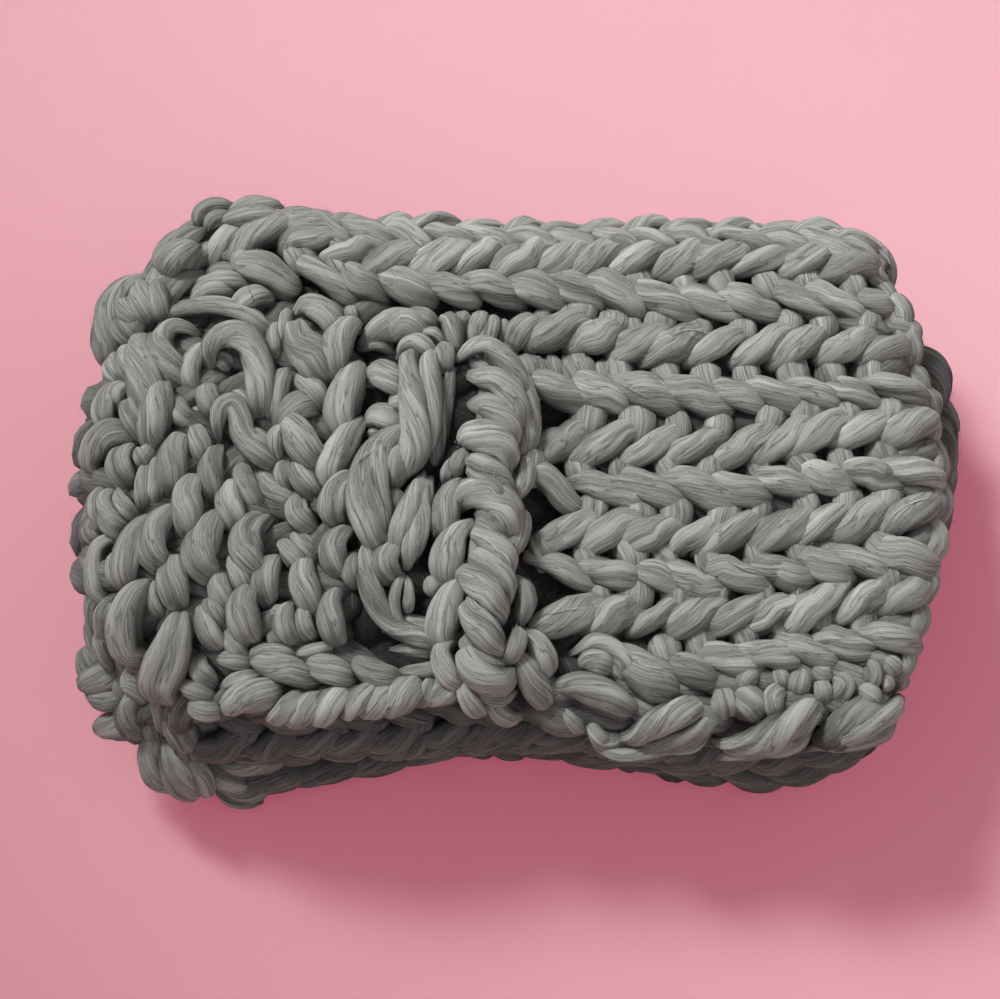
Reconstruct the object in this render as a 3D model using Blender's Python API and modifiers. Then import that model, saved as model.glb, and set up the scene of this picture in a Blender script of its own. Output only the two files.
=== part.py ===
"""A chunky hand-knitted blanket, folded back and forth into a soft, uneven bundle.

The knitted cloth is one piece. Its section, seen from the side, runs from the front edge of
the bottom layer to a fold at the back, forward again to a fold at the front, and so on up to
the top layer, whose front edge lies free. The folds run along X. The top layer carries two
soft ridges side by side, with a trough to their right, and sags over the layers at its left.

Metres, +Z up, origin at the middle of the footprint on the surface the bundle rests on.
"""

import math
from collections import namedtuple

import bmesh
import bpy

# ---- driving sizes ----
CLOTH_THICKNESS = 0.026
LAYER_GAP = 0.004
LAYER_PITCH = CLOTH_THICKNESS + LAYER_GAP
FOLD_RADIUS = LAYER_PITCH / 2
BOTTOM_LEVEL = CLOTH_THICKNESS / 2

HALF_WIDTH = 0.212          # nominal, before each layer's own edges are applied
EDGE_REACH = 0.110          # how far in from an edge its unevenness is felt
RIM_THINNING = 0.72         # thickness of the cloth at its edges, as a share
WAVE_HEIGHT = 0.0025        # gentle unevenness of the upper layers
WAVE_LENGTH_X = 0.300
WAVE_LENGTH_Y = 0.230

SUBDIVISION = 1
FOLD_STEPS = 4              # a fold is a half circle in this many steps
ALONG_SHARES = (0.0, 0.16, 0.39, 0.61, 0.84, 1.0)       # stations from front to back of a layer
ACROSS_SHARES = (0.0, 0.03, 0.095, 0.19, 0.28, 0.32, 0.355, 0.39, 0.43,
                 0.468, 0.506, 0.545, 0.60, 0.70, 0.82, 0.955, 1.0)

CLOTH_COLOUR = (0.27, 0.27, 0.255, 1.0)
CLOTH_ROUGHNESS = 0.95

# ---- the layers, bottom to top ----
# front and back: how far the cloth's middle surface reaches in Y, at five places from left to
# right. left and right: its side edges in X, at five places from front to back. sag_left and
# sag_right: how far the side edges hang below the layer.
Layer = namedtuple("Layer", "name front back left right sag_left sag_right")
LAYERS = (
    Layer("bottom",
          front=(-0.140, -0.132, -0.123, -0.136, -0.120), back=(0.106, 0.106, 0.104, 0.106, 0.102),
          left=(-0.178, -0.219, -0.206, -0.198, -0.168), right=(0.162, 0.192, 0.212, 0.220, 0.186),
          sag_left=0.0, sag_right=0.0),
    Layer("second",
          front=(-0.104, -0.102, -0.097, -0.108, -0.098), back=(0.106, 0.106, 0.104, 0.106, 0.102),
          left=(-0.182, -0.212, -0.202, -0.192, -0.162), right=(0.164, 0.190, 0.206, 0.217, 0.182),
          sag_left=0.0, sag_right=0.004),
    Layer("third",
          front=(-0.104, -0.102, -0.097, -0.108, -0.098), back=(0.118, 0.113, 0.108, 0.111, 0.103),
          left=(-0.164, -0.178, -0.176, -0.172, -0.154), right=(0.168, 0.184, 0.190, 0.188, 0.172),
          sag_left=0.004, sag_right=0.003),
    Layer("top",
          front=(-0.114, -0.118, -0.117, -0.122, -0.116), back=(0.118, 0.113, 0.108, 0.111, 0.103),
          left=(-0.170, -0.210, -0.217, -0.208, -0.156), right=(0.172, 0.193, 0.204, 0.195, 0.172),
          sag_left=0.030, sag_right=0.010),
)
SAG_START_LEFT = -0.181     # the sags begin past the edges of the layer below
SAG_START_RIGHT = 0.186
FRONT_SAG = 0.006           # the top layer's free front edge turns down a little
FRONT_SAG_START = -0.090

# ---- the relief of the top layer ----
# Each ridge or trough follows a bent line: its X at the back, middle and front, between two Ys.
Relief = namedtuple("Relief", "name x_back x_middle x_front y_back y_front half_width height")
RELIEFS = (
    Relief("left ridge", -0.044, -0.064, -0.056, 0.080, -0.075, 0.017, 0.013),
    Relief("main ridge", -0.030, -0.015, -0.010, 0.085, -0.114, 0.018, 0.020),
    Relief("right trough", 0.019, 0.018, 0.021, 0.055, -0.080, 0.015, -0.005),
)
RELIEF_FADE = 0.030         # over this length a ridge rises from its ends

# The left of the top layer is a turned corner that lies a little higher, with soft edges.
CORNER_LEFT, CORNER_RIGHT = -0.230, -0.075
CORNER_FRONT, CORNER_BACK = -0.078, 0.086
CORNER_HEIGHT = 0.006
CORNER_SOFTNESS = 0.024


def smooth_step(share):
    share = min(max(share, 0.0), 1.0)
    return share * share * (3.0 - 2.0 * share)


def along_row(values, share):
    """A smooth curve through evenly spaced values, read at a share from 0 to 1."""
    place = min(max(share, 0.0), 1.0) * (len(values) - 1)
    start = min(int(place), len(values) - 2)
    t = place - start
    before = values[max(start - 1, 0)]
    first, second = values[start], values[start + 1]
    after = values[min(start + 2, len(values) - 1)]
    slope_first, slope_second = (second - before) / 2, (after - first) / 2
    return ((2 * t**3 - 3 * t**2 + 1) * first + (t**3 - 2 * t**2 + t) * slope_first
            + (3 * t**2 - 2 * t**3) * second + (t**3 - t**2) * slope_second)


def level_of(index):
    return BOTTOM_LEVEL + index * LAYER_PITCH


def place_across(layer, share_across, share_along):
    """X of a point of the layer: the nominal place, moved near the edges to the layer's own."""
    x = HALF_WIDTH * (2.0 * share_across - 1.0)
    near_left = smooth_step(1.0 - (x + HALF_WIDTH) / EDGE_REACH)
    near_right = smooth_step(1.0 - (HALF_WIDTH - x) / EDGE_REACH)
    shift_left = along_row(layer.left, share_along) + HALF_WIDTH
    shift_right = along_row(layer.right, share_along) - HALF_WIDTH
    return x + near_left * shift_left + near_right * shift_right


def wave(x, y):
    return WAVE_HEIGHT * math.sin(2 * math.pi * x / WAVE_LENGTH_X) * math.cos(2 * math.pi * y / WAVE_LENGTH_Y)


def sag(layer, x):
    """How far the layer hangs below its level at X, past the edges of the layer under it."""
    edge_left, edge_right = min(layer.left), max(layer.right)
    over_left = smooth_step((SAG_START_LEFT - x) / (SAG_START_LEFT - edge_left))
    over_right = smooth_step((x - SAG_START_RIGHT) / (edge_right - SAG_START_RIGHT))
    return layer.sag_left * over_left + layer.sag_right * over_right


def corner_height(x, y):
    """The low plateau of the turned corner."""
    inside = min(x - CORNER_LEFT, CORNER_RIGHT - x, y - CORNER_FRONT, CORNER_BACK - y)
    return CORNER_HEIGHT * smooth_step(0.5 + inside / CORNER_SOFTNESS)


def relief_height(x, y):
    """The turned corner, the ridges and the trough of the top layer."""
    total = corner_height(x, y)
    for form in RELIEFS:
        run = (form.y_back - y) / (form.y_back - form.y_front)
        centre = along_row((form.x_back, form.x_middle, form.x_front), run)
        length = form.y_back - form.y_front
        ends = smooth_step(run * length / RELIEF_FADE) * smooth_step((1 - run) * length / RELIEF_FADE)
        total += form.height * ends * math.exp(-0.5 * ((x - centre) / form.half_width) ** 2)
    return total


def layer_point(index, share_across, share_along):
    """A point of the middle surface of a layer."""
    layer = LAYERS[index]
    x = place_across(layer, share_across, share_along)
    y_front = along_row(layer.front, share_across)
    y_back = along_row(layer.back, share_across)
    y = y_front + share_along * (y_back - y_front)
    z = level_of(index) + wave(x, y) * index / (len(LAYERS) - 1) - sag(layer, x)
    if index == len(LAYERS) - 1:
        z += relief_height(x, y)
        z -= FRONT_SAG * smooth_step((FRONT_SAG_START - y) / (FRONT_SAG_START - min(layer.front)))
    return x, y, z


def fold_point(index, share_across, angle, at_back):
    """A point of the half circle that joins a layer to the one above it."""
    end = 1.0 if at_back else 0.0
    x_low, y_low, z_low = layer_point(index, share_across, end)
    x_high, y_high, z_high = layer_point(index + 1, share_across, end)
    rise = (1.0 - math.cos(angle)) / 2
    outward = FOLD_RADIUS * math.sin(angle) * (1.0 if at_back else -1.0)
    x = x_low + rise * (x_high - x_low)
    y = y_low + rise * (y_high - y_low) + outward
    z = z_low + rise * (z_high - z_low)
    return x, y, z


def cage_rows():
    """The rows of the cage, from the bottom layer's front edge to the top layer's."""
    rows = []
    for index in range(len(LAYERS)):
        to_back = index % 2 == 0
        shares = ALONG_SHARES if to_back else tuple(reversed(ALONG_SHARES))
        for share_along in shares:
            rows.append([layer_point(index, across, share_along) for across in ACROSS_SHARES])
        if index == len(LAYERS) - 1:
            break
        for step in range(1, FOLD_STEPS):
            angle = math.pi * step / FOLD_STEPS
            rows.append([fold_point(index, across, angle, to_back) for across in ACROSS_SHARES])
    return rows


def build_cage(name, rows):
    """The middle surface as a grid of four-sided faces, with its rim in a vertex group."""
    mesh = bpy.data.meshes.new(name)
    shape = bmesh.new()
    grid = [[shape.verts.new(point) for point in row] for row in rows]
    for row, next_row in zip(grid, grid[1:]):
        for column in range(len(row) - 1):
            shape.faces.new((row[column], row[column + 1], next_row[column + 1], next_row[column]))
    bmesh.ops.recalc_face_normals(shape, faces=shape.faces)
    shape.verts.index_update()
    rim = [vert.index for vert in shape.verts if vert.is_boundary]
    shape.to_mesh(mesh)
    shape.free()
    cage = bpy.data.objects.new(name, mesh)
    plump = cage.vertex_groups.new(name="plump")
    plump.add(range(len(mesh.vertices)), 1.0, "REPLACE")
    plump.add(rim, RIM_THINNING, "REPLACE")
    return cage


def thicken(cage):
    solid = cage.modifiers.new("cloth thickness", "SOLIDIFY")
    solid.thickness = CLOTH_THICKNESS
    solid.offset = 0.0
    solid.use_even_offset = False
    solid.vertex_group = "plump"
    soft = cage.modifiers.new("soft form", "SUBSURF")
    soft.levels = SUBDIVISION
    soft.render_levels = SUBDIVISION


def wool_material():
    material = bpy.data.materials.new("grey_wool")
    material.use_nodes = True
    shader = material.node_tree.nodes["Principled BSDF"]
    shader.inputs["Base Color"].default_value = CLOTH_COLOUR
    shader.inputs["Roughness"].default_value = CLOTH_ROUGHNESS
    shader.inputs["Metallic"].default_value = 0.0
    return material


def main():
    for item in list(bpy.data.objects):
        bpy.data.objects.remove(item, do_unlink=True)
    collection = bpy.data.collections.new("chunky_knit_blanket")
    bpy.context.scene.collection.children.link(collection)
    blanket = build_cage("blanket", cage_rows())
    collection.objects.link(blanket)
    thicken(blanket)
    blanket.data.shade_smooth()
    blanket.data.materials.append(wool_material())


main()
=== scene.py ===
# %% [markdown]
# # A chunky knitted blanket, folded into a soft bundle
# The cloth is hand-knitted from roving: a very thick, hardly twisted yarn of wool. Each stitch
# is about as big as a thumb, so the stitches are modelled one by one, as tubes of yarn that
# loop through each other, and only the fibres in the yarn are left to the material.
# The imported solid gives the place of everything.

import math
from collections import namedtuple

import bpy
import numpy as np
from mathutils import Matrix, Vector


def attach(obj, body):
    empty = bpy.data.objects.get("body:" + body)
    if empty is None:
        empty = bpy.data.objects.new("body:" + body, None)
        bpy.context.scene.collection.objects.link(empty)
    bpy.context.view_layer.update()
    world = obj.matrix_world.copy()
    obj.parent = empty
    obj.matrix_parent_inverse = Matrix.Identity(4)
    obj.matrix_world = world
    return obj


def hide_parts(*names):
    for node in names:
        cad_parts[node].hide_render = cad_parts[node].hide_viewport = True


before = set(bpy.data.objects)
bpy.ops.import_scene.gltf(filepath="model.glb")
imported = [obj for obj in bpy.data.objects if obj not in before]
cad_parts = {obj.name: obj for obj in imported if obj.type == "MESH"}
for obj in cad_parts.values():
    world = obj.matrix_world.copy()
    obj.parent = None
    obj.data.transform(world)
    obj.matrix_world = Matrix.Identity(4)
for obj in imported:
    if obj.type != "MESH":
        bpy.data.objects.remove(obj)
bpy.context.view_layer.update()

# %% [markdown]
# ## The cloth's middle surface
# The blanket is one long cloth in four layers with three folds. Everything knitted is laid out
# on the flat cloth first, with a place across it (from left to right) and a place along it
# (from the top layer's free front edge to the bottom layer's), and then carried to its place
# in the bundle. The sizes are those of the solid, so yarn and solid agree without any fitting.

# %% Sizes of the folded cloth
CLOTH_THICKNESS = 0.026
LAYER_PITCH = 0.030    # from one layer to the next
FOLD_RADIUS = LAYER_PITCH / 2
BOTTOM_LEVEL = CLOTH_THICKNESS / 2
HALF_WIDTH = 0.212
WAVE_HEIGHT, WAVE_LENGTH_X, WAVE_LENGTH_Y = 0.0025, 0.300, 0.230

# front and back: where the layer ends in Y, at five places from left to right. left and right:
# its side edges in X, at five places from front to back.
Layer = namedtuple("Layer", "name front back left right")
LAYERS = (
    Layer("bottom",
          front=(-0.140, -0.132, -0.123, -0.136, -0.120), back=(0.106, 0.106, 0.104, 0.106, 0.102),
          left=(-0.178, -0.219, -0.206, -0.198, -0.168), right=(0.162, 0.192, 0.212, 0.220, 0.186)),
    Layer("second",
          front=(-0.104, -0.102, -0.097, -0.108, -0.098), back=(0.106, 0.106, 0.104, 0.106, 0.102),
          left=(-0.182, -0.212, -0.202, -0.192, -0.162), right=(0.164, 0.190, 0.206, 0.217, 0.182)),
    Layer("third",
          front=(-0.104, -0.102, -0.097, -0.108, -0.098), back=(0.118, 0.113, 0.108, 0.111, 0.103),
          left=(-0.164, -0.178, -0.176, -0.172, -0.154), right=(0.168, 0.184, 0.190, 0.188, 0.172)),
    Layer("top",
          front=(-0.114, -0.118, -0.117, -0.122, -0.116), back=(0.118, 0.113, 0.108, 0.111, 0.103),
          left=(-0.170, -0.210, -0.217, -0.208, -0.156), right=(0.172, 0.193, 0.204, 0.195, 0.172)),
)
TOP = len(LAYERS) - 1

# A ridge or trough follows a bent line: its X at the back, middle and front, between two Ys.
Relief = namedtuple("Relief", "name x_back x_middle x_front y_back y_front half_width height")
RELIEFS = (
    Relief("left ridge", -0.044, -0.064, -0.056, 0.080, -0.075, 0.017, 0.013),
    Relief("main ridge", -0.030, -0.015, -0.010, 0.085, -0.114, 0.018, 0.020),
    Relief("right trough", 0.019, 0.018, 0.021, 0.055, -0.080, 0.015, -0.005),
)
RELIEF_FADE = 0.030
CORNER_LEFT, CORNER_RIGHT = -0.230, -0.075
CORNER_FRONT, CORNER_BACK = -0.078, 0.086
CORNER_HEIGHT, CORNER_SOFTNESS = 0.006, 0.024

LAYER_RUN = 0.220      # knitted length of one layer, front to back
FOLD_RUN = 0.075       # knitted length that goes round a fold
CLOTH_RUN = len(LAYERS) * LAYER_RUN + (len(LAYERS) - 1) * FOLD_RUN
# radii of the top layer's edges, and how far round they go, in radians
ROLL_LEFT, ROLL_RIGHT, ROLL_FRONT, ROLL_BACK = 0.036, 0.018, 0.014, 0.026
SIDE_TURN, FRONT_TURN = 2.4, 2.2


def smooth_step(share):
    share = np.clip(share, 0.0, 1.0)
    return share * share * (3.0 - 2.0 * share)


def along_row(values, share):
    """A smooth curve through evenly spaced values, read at shares from 0 to 1."""
    values = np.asarray(values, float)
    place = np.clip(share, 0.0, 1.0) * (len(values) - 1)
    start = np.minimum(place.astype(int), len(values) - 2)
    t = place - start
    before = values[np.maximum(start - 1, 0)]
    first, second = values[start], values[start + 1]
    after = values[np.minimum(start + 2, len(values) - 1)]
    slope_first, slope_second = (second - before) / 2, (after - first) / 2
    return ((2 * t**3 - 3 * t**2 + 1) * first + (t**3 - 2 * t**2 + t) * slope_first
            + (3 * t**2 - 2 * t**3) * second + (t**3 - t**2) * slope_second)


def relief_height(x, y):
    """The turned corner, the ridges and the trough of the top layer."""
    inside = np.minimum(np.minimum(x - CORNER_LEFT, CORNER_RIGHT - x),
                        np.minimum(y - CORNER_FRONT, CORNER_BACK - y))
    total = CORNER_HEIGHT * smooth_step(0.5 + inside / CORNER_SOFTNESS)
    for form in RELIEFS:
        length = form.y_back - form.y_front
        run = (form.y_back - y) / length
        centre = along_row((form.x_back, form.x_middle, form.x_front), run)
        ends = smooth_step(run * length / RELIEF_FADE) * smooth_step((1 - run) * length / RELIEF_FADE)
        total = total + form.height * ends * np.exp(-0.5 * ((x - centre) / form.half_width) ** 2)
    return total


def layer_point(index, across, share_along):
    """Points of one layer. The top layer rolls over at its side edges instead of ending flat."""
    layer = LAYERS[index]
    share_across = (across / HALF_WIDTH + 1) / 2
    y_front = along_row(layer.front, share_across)
    y_back = along_row(layer.back, share_across)
    y = y_front + share_along * (y_back - y_front)
    x, drop = across, 0.0
    if index == TOP:
        turn_left = along_row(layer.left, share_along) + ROLL_LEFT
        turn_right = along_row(layer.right, share_along) - ROLL_RIGHT
        bend_left = np.clip((turn_left - across) / ROLL_LEFT, 0.0, SIDE_TURN)
        bend_right = np.clip((across - turn_right) / ROLL_RIGHT, 0.0, SIDE_TURN)
        x = np.clip(across, turn_left, turn_right)
        x = x - ROLL_LEFT * np.sin(bend_left) + ROLL_RIGHT * np.sin(bend_right)
        drop = ROLL_LEFT * (1 - np.cos(bend_left)) + ROLL_RIGHT * (1 - np.cos(bend_right))
    z = BOTTOM_LEVEL + index * LAYER_PITCH - drop
    z = z + (WAVE_HEIGHT * np.sin(2 * np.pi * x / WAVE_LENGTH_X)
             * np.cos(2 * np.pi * y / WAVE_LENGTH_Y) * index / TOP)
    if index == TOP:
        z = z + relief_height(x, y)
    return np.stack(np.broadcast_arrays(x, y, z), axis=-1)


def fold_point(low_index, across, share, at_back):
    """Points of the half circle between two layers; share runs from the upper to the lower."""
    end = np.full(np.shape(across), 1.0 if at_back else 0.0)
    low = layer_point(low_index, across, end)
    high = layer_point(low_index + 1, across, end)
    angle = np.pi * share
    fall = ((1 - np.cos(angle)) / 2)[..., None]
    point = high + fall * (low - high)
    point[..., 1] += FOLD_RADIUS * np.sin(angle) * (1.0 if at_back else -1.0)
    return point


def cloth_point(across, along):
    """Where a place on the flat cloth lies in the bundle."""
    across, along = np.broadcast_arrays(np.asarray(across, float), np.asarray(along, float))
    point = np.zeros(across.shape + (3,))
    start = 0.0
    for step in range(2 * len(LAYERS) - 1):
        index = TOP - step // 2
        run = LAYER_RUN if step % 2 == 0 else FOLD_RUN
        here = (along >= start) & (along <= start + run)
        if step == 0:
            here |= along < 0
        if step == 2 * len(LAYERS) - 2:
            here |= along > start + run
        share = (along[here] - start) / run
        if step % 2 == 0:
            to_back = (TOP - index) % 2 == 0
            point[here] = layer_point(index, across[here], share if to_back else 1 - share)
        else:
            point[here] = fold_point(index - 1, across[here], share, (TOP - index) % 2 == 0)
        start += run
    before = along < 0
    bend = np.clip(-along[before] / ROLL_FRONT, 0, FRONT_TURN)
    edge = layer_point(TOP, across[before], np.zeros(before.sum()))
    edge[:, 1] -= ROLL_FRONT * np.sin(bend)
    edge[:, 2] -= ROLL_FRONT * (1 - np.cos(bend))
    point[before] = edge
    return point


def cloth_normal(across, along, reach=0.0012):
    """Unit vectors out of the knitted face."""
    over = cloth_point(across + reach, along) - cloth_point(across - reach, along)
    on = cloth_point(across, along + reach) - cloth_point(across, along - reach)
    normal = np.cross(over, on)
    return normal / np.linalg.norm(normal, axis=-1, keepdims=True)


# %% [markdown]
# ## Yarn
# A strand of roving is a soft tube. Its middle line is a smooth curve through a few points, its
# girth swells where the yarn is free and shrinks where it is squeezed, and its surface has
# soft lobes and creases between bundles of fibre, which turn slowly round it. All strands of
# one kind are swept at once with arrays, and joined into one mesh.

# %% Sweeping strands
MM = 0.001
YARN = 0.019           # the scale of its fibres
FLATNESS = 0.86        # height of a strand as a share of its width
# Turns are in radians per metre: of the fibres, the lobes and the creases. A crease is so many
# radians wide.
TWIST_LOW, TWIST_HIGH = -64.0, -20.0
LOBES, LOBE_TURN = (2, 3, 5), 25
CREASES, CREASE_TURN, CREASE_WIDTH = 4, 14, 0.34
random = np.random.default_rng(20)
# Painted shade: wool deep between the strands is painted darker, where little light would reach it. Its
# painted light falls where a strand faces into the cloth, and where its middle lies below FREE, in
# millimetres from its surface, down to DEEP. SHUT and CREASE_SHADE below are painted shade too.
FACING_IN, FACING_RUN = 0.22, 0.95
DEEP, FREE = -9.0, 1.5
SHUT = 0.24            # what is left where a strand faces in, and again where it lies deep
CREASE_SHADE = 0.38    # how much darker a crease is


def smooth_path(points, rings):
    """Catmull-Rom curves through each strand's points, at evenly spaced steps."""
    points = np.concatenate([2 * points[:, :1] - points[:, 1:2], points,
                             2 * points[:, -1:] - points[:, -2:-1]], axis=1)
    spans = points.shape[1] - 3
    place = np.linspace(0, spans, rings)
    start = np.minimum(place.astype(int), spans - 1)
    t = (place - start)[None, :, None]
    p0, p1, p2, p3 = (points[:, start + k] for k in range(4))
    return 0.5 * (2 * p1 + (p2 - p0) * t + (2 * p0 - 5 * p1 + 4 * p2 - p3) * t**2
                  + (3 * p1 - p0 - 3 * p2 + p3) * t**3)


def unit(vectors):
    return vectors / np.maximum(np.linalg.norm(vectors, axis=-1, keepdims=True), 1e-9)


def each(count, low, high):
    """One random value for each strand, ready to meet its rings and sides."""
    return random.uniform(low, high, (count, 1, 1))


def frames(centres, normals):
    """Sideways and outward unit vectors along the middle lines, and the length run so far."""
    tangents = unit(np.gradient(centres, axis=1))
    sideways = unit(np.cross(tangents, normals))
    steps = np.linalg.norm(np.diff(centres, axis=1), axis=-1)
    length = np.concatenate([np.zeros((len(centres), 1)), np.cumsum(steps, axis=1)], axis=1)
    return sideways, np.cross(sideways, tangents), length[..., None]


def painted_light_of(upward, lifts):
    """Painted light: 1 where a strand faces out and lies high, less where it faces in or lies deep, which
    paints shade there.
    """
    facing = smooth_step((upward + FACING_IN) / FACING_RUN)
    raised = smooth_step((lifts - DEEP) / (FREE - DEEP))
    return (SHUT + (1 - SHUT) * facing) * (SHUT + (1 - SHUT) * raised)


def sweep(centres, normals, girths, lifts, sides, flatness=FLATNESS, lobes=0.04, crease=0.19,
          shade=1.0):
    """Tubes round the middle lines: vertices, fibre coordinates, tones, painted light and faces."""
    count, rings = centres.shape[:2]
    sideways, outward, length = frames(centres, normals)
    turn = (np.arange(sides) * 2 * np.pi / sides)[None, None, :]
    fibre_angle = turn + each(count, TWIST_LOW, TWIST_HIGH) * length
    shape = np.ones((count, rings, sides))
    for waves in LOBES:
        drift = each(count, -LOBE_TURN, LOBE_TURN) * length
        shape += lobes * np.cos(waves * fibre_angle + each(count, 0, 2 * np.pi) + drift)
    cut = np.zeros((count, rings, sides))
    for _ in range(CREASES):
        place = each(count, 0, 2 * np.pi) + each(count, -CREASE_TURN, CREASE_TURN) * length
        gap = np.angle(np.exp(1j * (fibre_angle - place)))
        cut += each(count, 0.2, 1.0) * np.exp(-(gap / CREASE_WIDTH) ** 2)
    shape -= crease * cut
    radius = girths[..., None] * shape
    across = (radius * np.cos(turn))[..., None] * sideways[:, :, None, :]
    up = (radius * flatness * np.sin(turn))[..., None] * outward[:, :, None, :]
    vertices = centres[:, :, None, :] + across + up
    offset = each(count, 0, 2 * np.pi)
    along = (length / YARN + each(count, 0, 50)) + 0 * turn
    fibres = np.stack([np.cos(fibre_angle + offset), np.sin(fibre_angle + offset), along], axis=-1)
    tones = each(count, -1, 1) + 0 * fibre_angle
    # painted shade on the side that faces into the cloth, where the strand lies deep, in its creases, and
    # over all of a piece with a smaller shade
    openness = shade * painted_light_of(np.sin(turn), lifts[..., None])
    openness = openness * (1 - CREASE_SHADE * np.clip(cut, 0, 1))
    ring = np.arange(sides)
    quads = np.stack([ring, np.roll(ring, -1), np.roll(ring, -1) + sides, ring + sides], axis=-1)
    quads = (quads[None] + (np.arange(rings - 1) * sides)[:, None, None]).reshape(-1, 4)
    caps = np.stack([ring[::-1], ring + (rings - 1) * sides])
    return (vertices.reshape(count, -1, 3), fibres.reshape(count, -1, 3), tones.reshape(count, -1),
            openness.reshape(count, -1), quads, caps)


# %% [markdown]
# ## Loose fibres
# Roving is hardly twisted, so single hairs and small wisps work loose all over it. Each is a
# very thin ribbon that starts in the surface of a strand, follows it for a centimetre and
# lifts off. They soften the outline of every strand.

# %% Hairs that lift off a strand
HAIRS = 0.13           # hairs for each square millimetre of length times half thickness
HAIR_STEPS = np.linspace(0.0, 1.0, 5)
WISPS = 0.02           # share of the hairs that are broad wisps, lying close
# in metres, for wisps and for single hairs: length, how far the end lifts off, half width
WISP_RUN, HAIR_RUN = (0.012, 0.024), (0.005, 0.014)
WISP_LIFT, HAIR_LIFT = (0.0002, 0.0006), (0.0003, 0.0024)
WISP_HALF, HAIR_HALF = (0.0002, 0.00045), (0.00006, 0.00011)
fuzz_random = np.random.default_rng(7)


def loose_fibres(centres, normals, girths, lifts, density, shade):
    """Ribbons on the strands, given as a sweep gives its tubes."""
    sideways, outward, length = frames(centres, normals)
    rings = centres.shape[1]
    whole = length[:, -1, 0]
    wanted = density * (whole / MM) * (girths.mean(axis=1) / MM)
    strand = np.repeat(np.arange(len(centres)), np.round(wanted).astype(int))
    count = len(strand)

    def draw(low, high):
        return fuzz_random.uniform(low, high, (count, 1))

    wisp = draw(0, 1) < WISPS
    run = np.where(wisp, draw(*WISP_RUN), draw(*HAIR_RUN)) * np.sign(draw(-1, 1))
    share = np.clip(draw(0.03, 0.97) + run / whole[strand][:, None] * HAIR_STEPS, 0.0, 1.0)
    place = share * (rings - 1)
    ring = np.minimum(place.astype(int), rings - 2)
    part = place - ring

    def between(values):
        shape = part.shape + (1,) * (values.ndim - 2)
        first, second = values[strand[:, None], ring], values[strand[:, None], ring + 1]
        return first + part.reshape(shape) * (second - first)

    angle = draw(-0.9, np.pi + 0.9) + draw(TWIST_LOW, 0) * run * HAIR_STEPS
    angle = angle + draw(-0.5, 0.5) * HAIR_STEPS**2
    off = np.where(wisp, draw(*WISP_LIFT), draw(*HAIR_LIFT)) * HAIR_STEPS**1.4
    radial = (np.cos(angle)[..., None] * between(sideways)
              + FLATNESS * np.sin(angle)[..., None] * between(outward))
    line = between(centres) + (between(girths) + 0.0002 + off)[..., None] * radial
    broad = unit(np.cross(np.gradient(line, axis=1), radial))
    half = np.where(wisp, draw(*WISP_HALF), draw(*HAIR_HALF))
    half = half * (1.0 - 0.7 * np.abs(2 * HAIR_STEPS - 1))
    vertices = np.concatenate([line - half[..., None] * broad, line + half[..., None] * broad], axis=1)
    fibres = np.stack([np.cos(angle), np.sin(angle), between(length)[..., 0] / YARN + draw(0, 50)], axis=-1)
    tones = draw(-0.6, 1.2) + 0 * angle
    # the hairs get painted shade in the same way as the strands
    openness = shade * painted_light_of(np.sin(angle), between(lifts))
    step = np.arange(len(HAIR_STEPS) - 1)
    quads = np.stack([step, step + 1, step + 1 + len(HAIR_STEPS), step + len(HAIR_STEPS)], axis=-1)
    return (vertices, *(np.concatenate([side, side], axis=1) for side in (fibres, tones, openness)), quads)


# %% Pieces of yarn
def carry(mesh, fibres, tones, openness):
    """Gives each point of a mesh the three values that the wool reads."""
    # The third value is painted light: it paints shade on wool that lies deep or faces into the cloth.
    for name, kind, field, values in (("fibre", "FLOAT_VECTOR", "vector", fibres),
                                      ("tone", "FLOAT", "value", tones),
                                      ("open", "FLOAT", "value", openness)):
        attribute = mesh.attributes.new(name, kind, "POINT")
        attribute.data.foreach_set(field, values.astype(np.float32).ravel())


class YarnPiece:
    """Collects swept strands and makes one mesh object of them."""

    def __init__(self, name):
        self.name = name
        self.vertices, self.fibres, self.tones, self.openness, self.faces = [], [], [], [], []
        self.total = 0

    def add(self, centres, normals, girths, lifts, sides, hairs=HAIRS, **shape):
        self.join(*sweep(centres, normals, girths, lifts, sides, **shape))
        if hairs:
            fuzz.join(*loose_fibres(centres, normals, girths, lifts, hairs, shape.get("shade", 1.0)))

    def join(self, vertices, fibres, tones, openness, *faces):
        for strand in range(len(vertices)):
            for part in faces:
                self.faces.extend((part + self.total).tolist())
            self.total += vertices.shape[1]
        self.vertices.append(vertices.reshape(-1, 3))
        self.fibres.append(fibres.reshape(-1, 3))
        self.tones.append(tones.ravel())
        self.openness.append(openness.ravel())

    def finish(self, material):
        mesh = bpy.data.meshes.new(self.name)
        vertices = np.concatenate(self.vertices)
        vertices[:, 2] = np.maximum(vertices[:, 2], 0.0)      # yarn on the table is pressed flat
        mesh.from_pydata(vertices.tolist(), [], self.faces)
        carry(mesh, *(np.concatenate(values) for values in (self.fibres, self.tones, self.openness)))
        mesh.shade_smooth()
        mesh.materials.append(material)
        piece = bpy.data.objects.new(self.name, mesh)
        bpy.context.scene.collection.objects.link(piece)
        print(self.name, sum(len(face) - 2 for face in self.faces), "triangles")
        return piece


fuzz = YarnPiece("loose_fibres")


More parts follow.
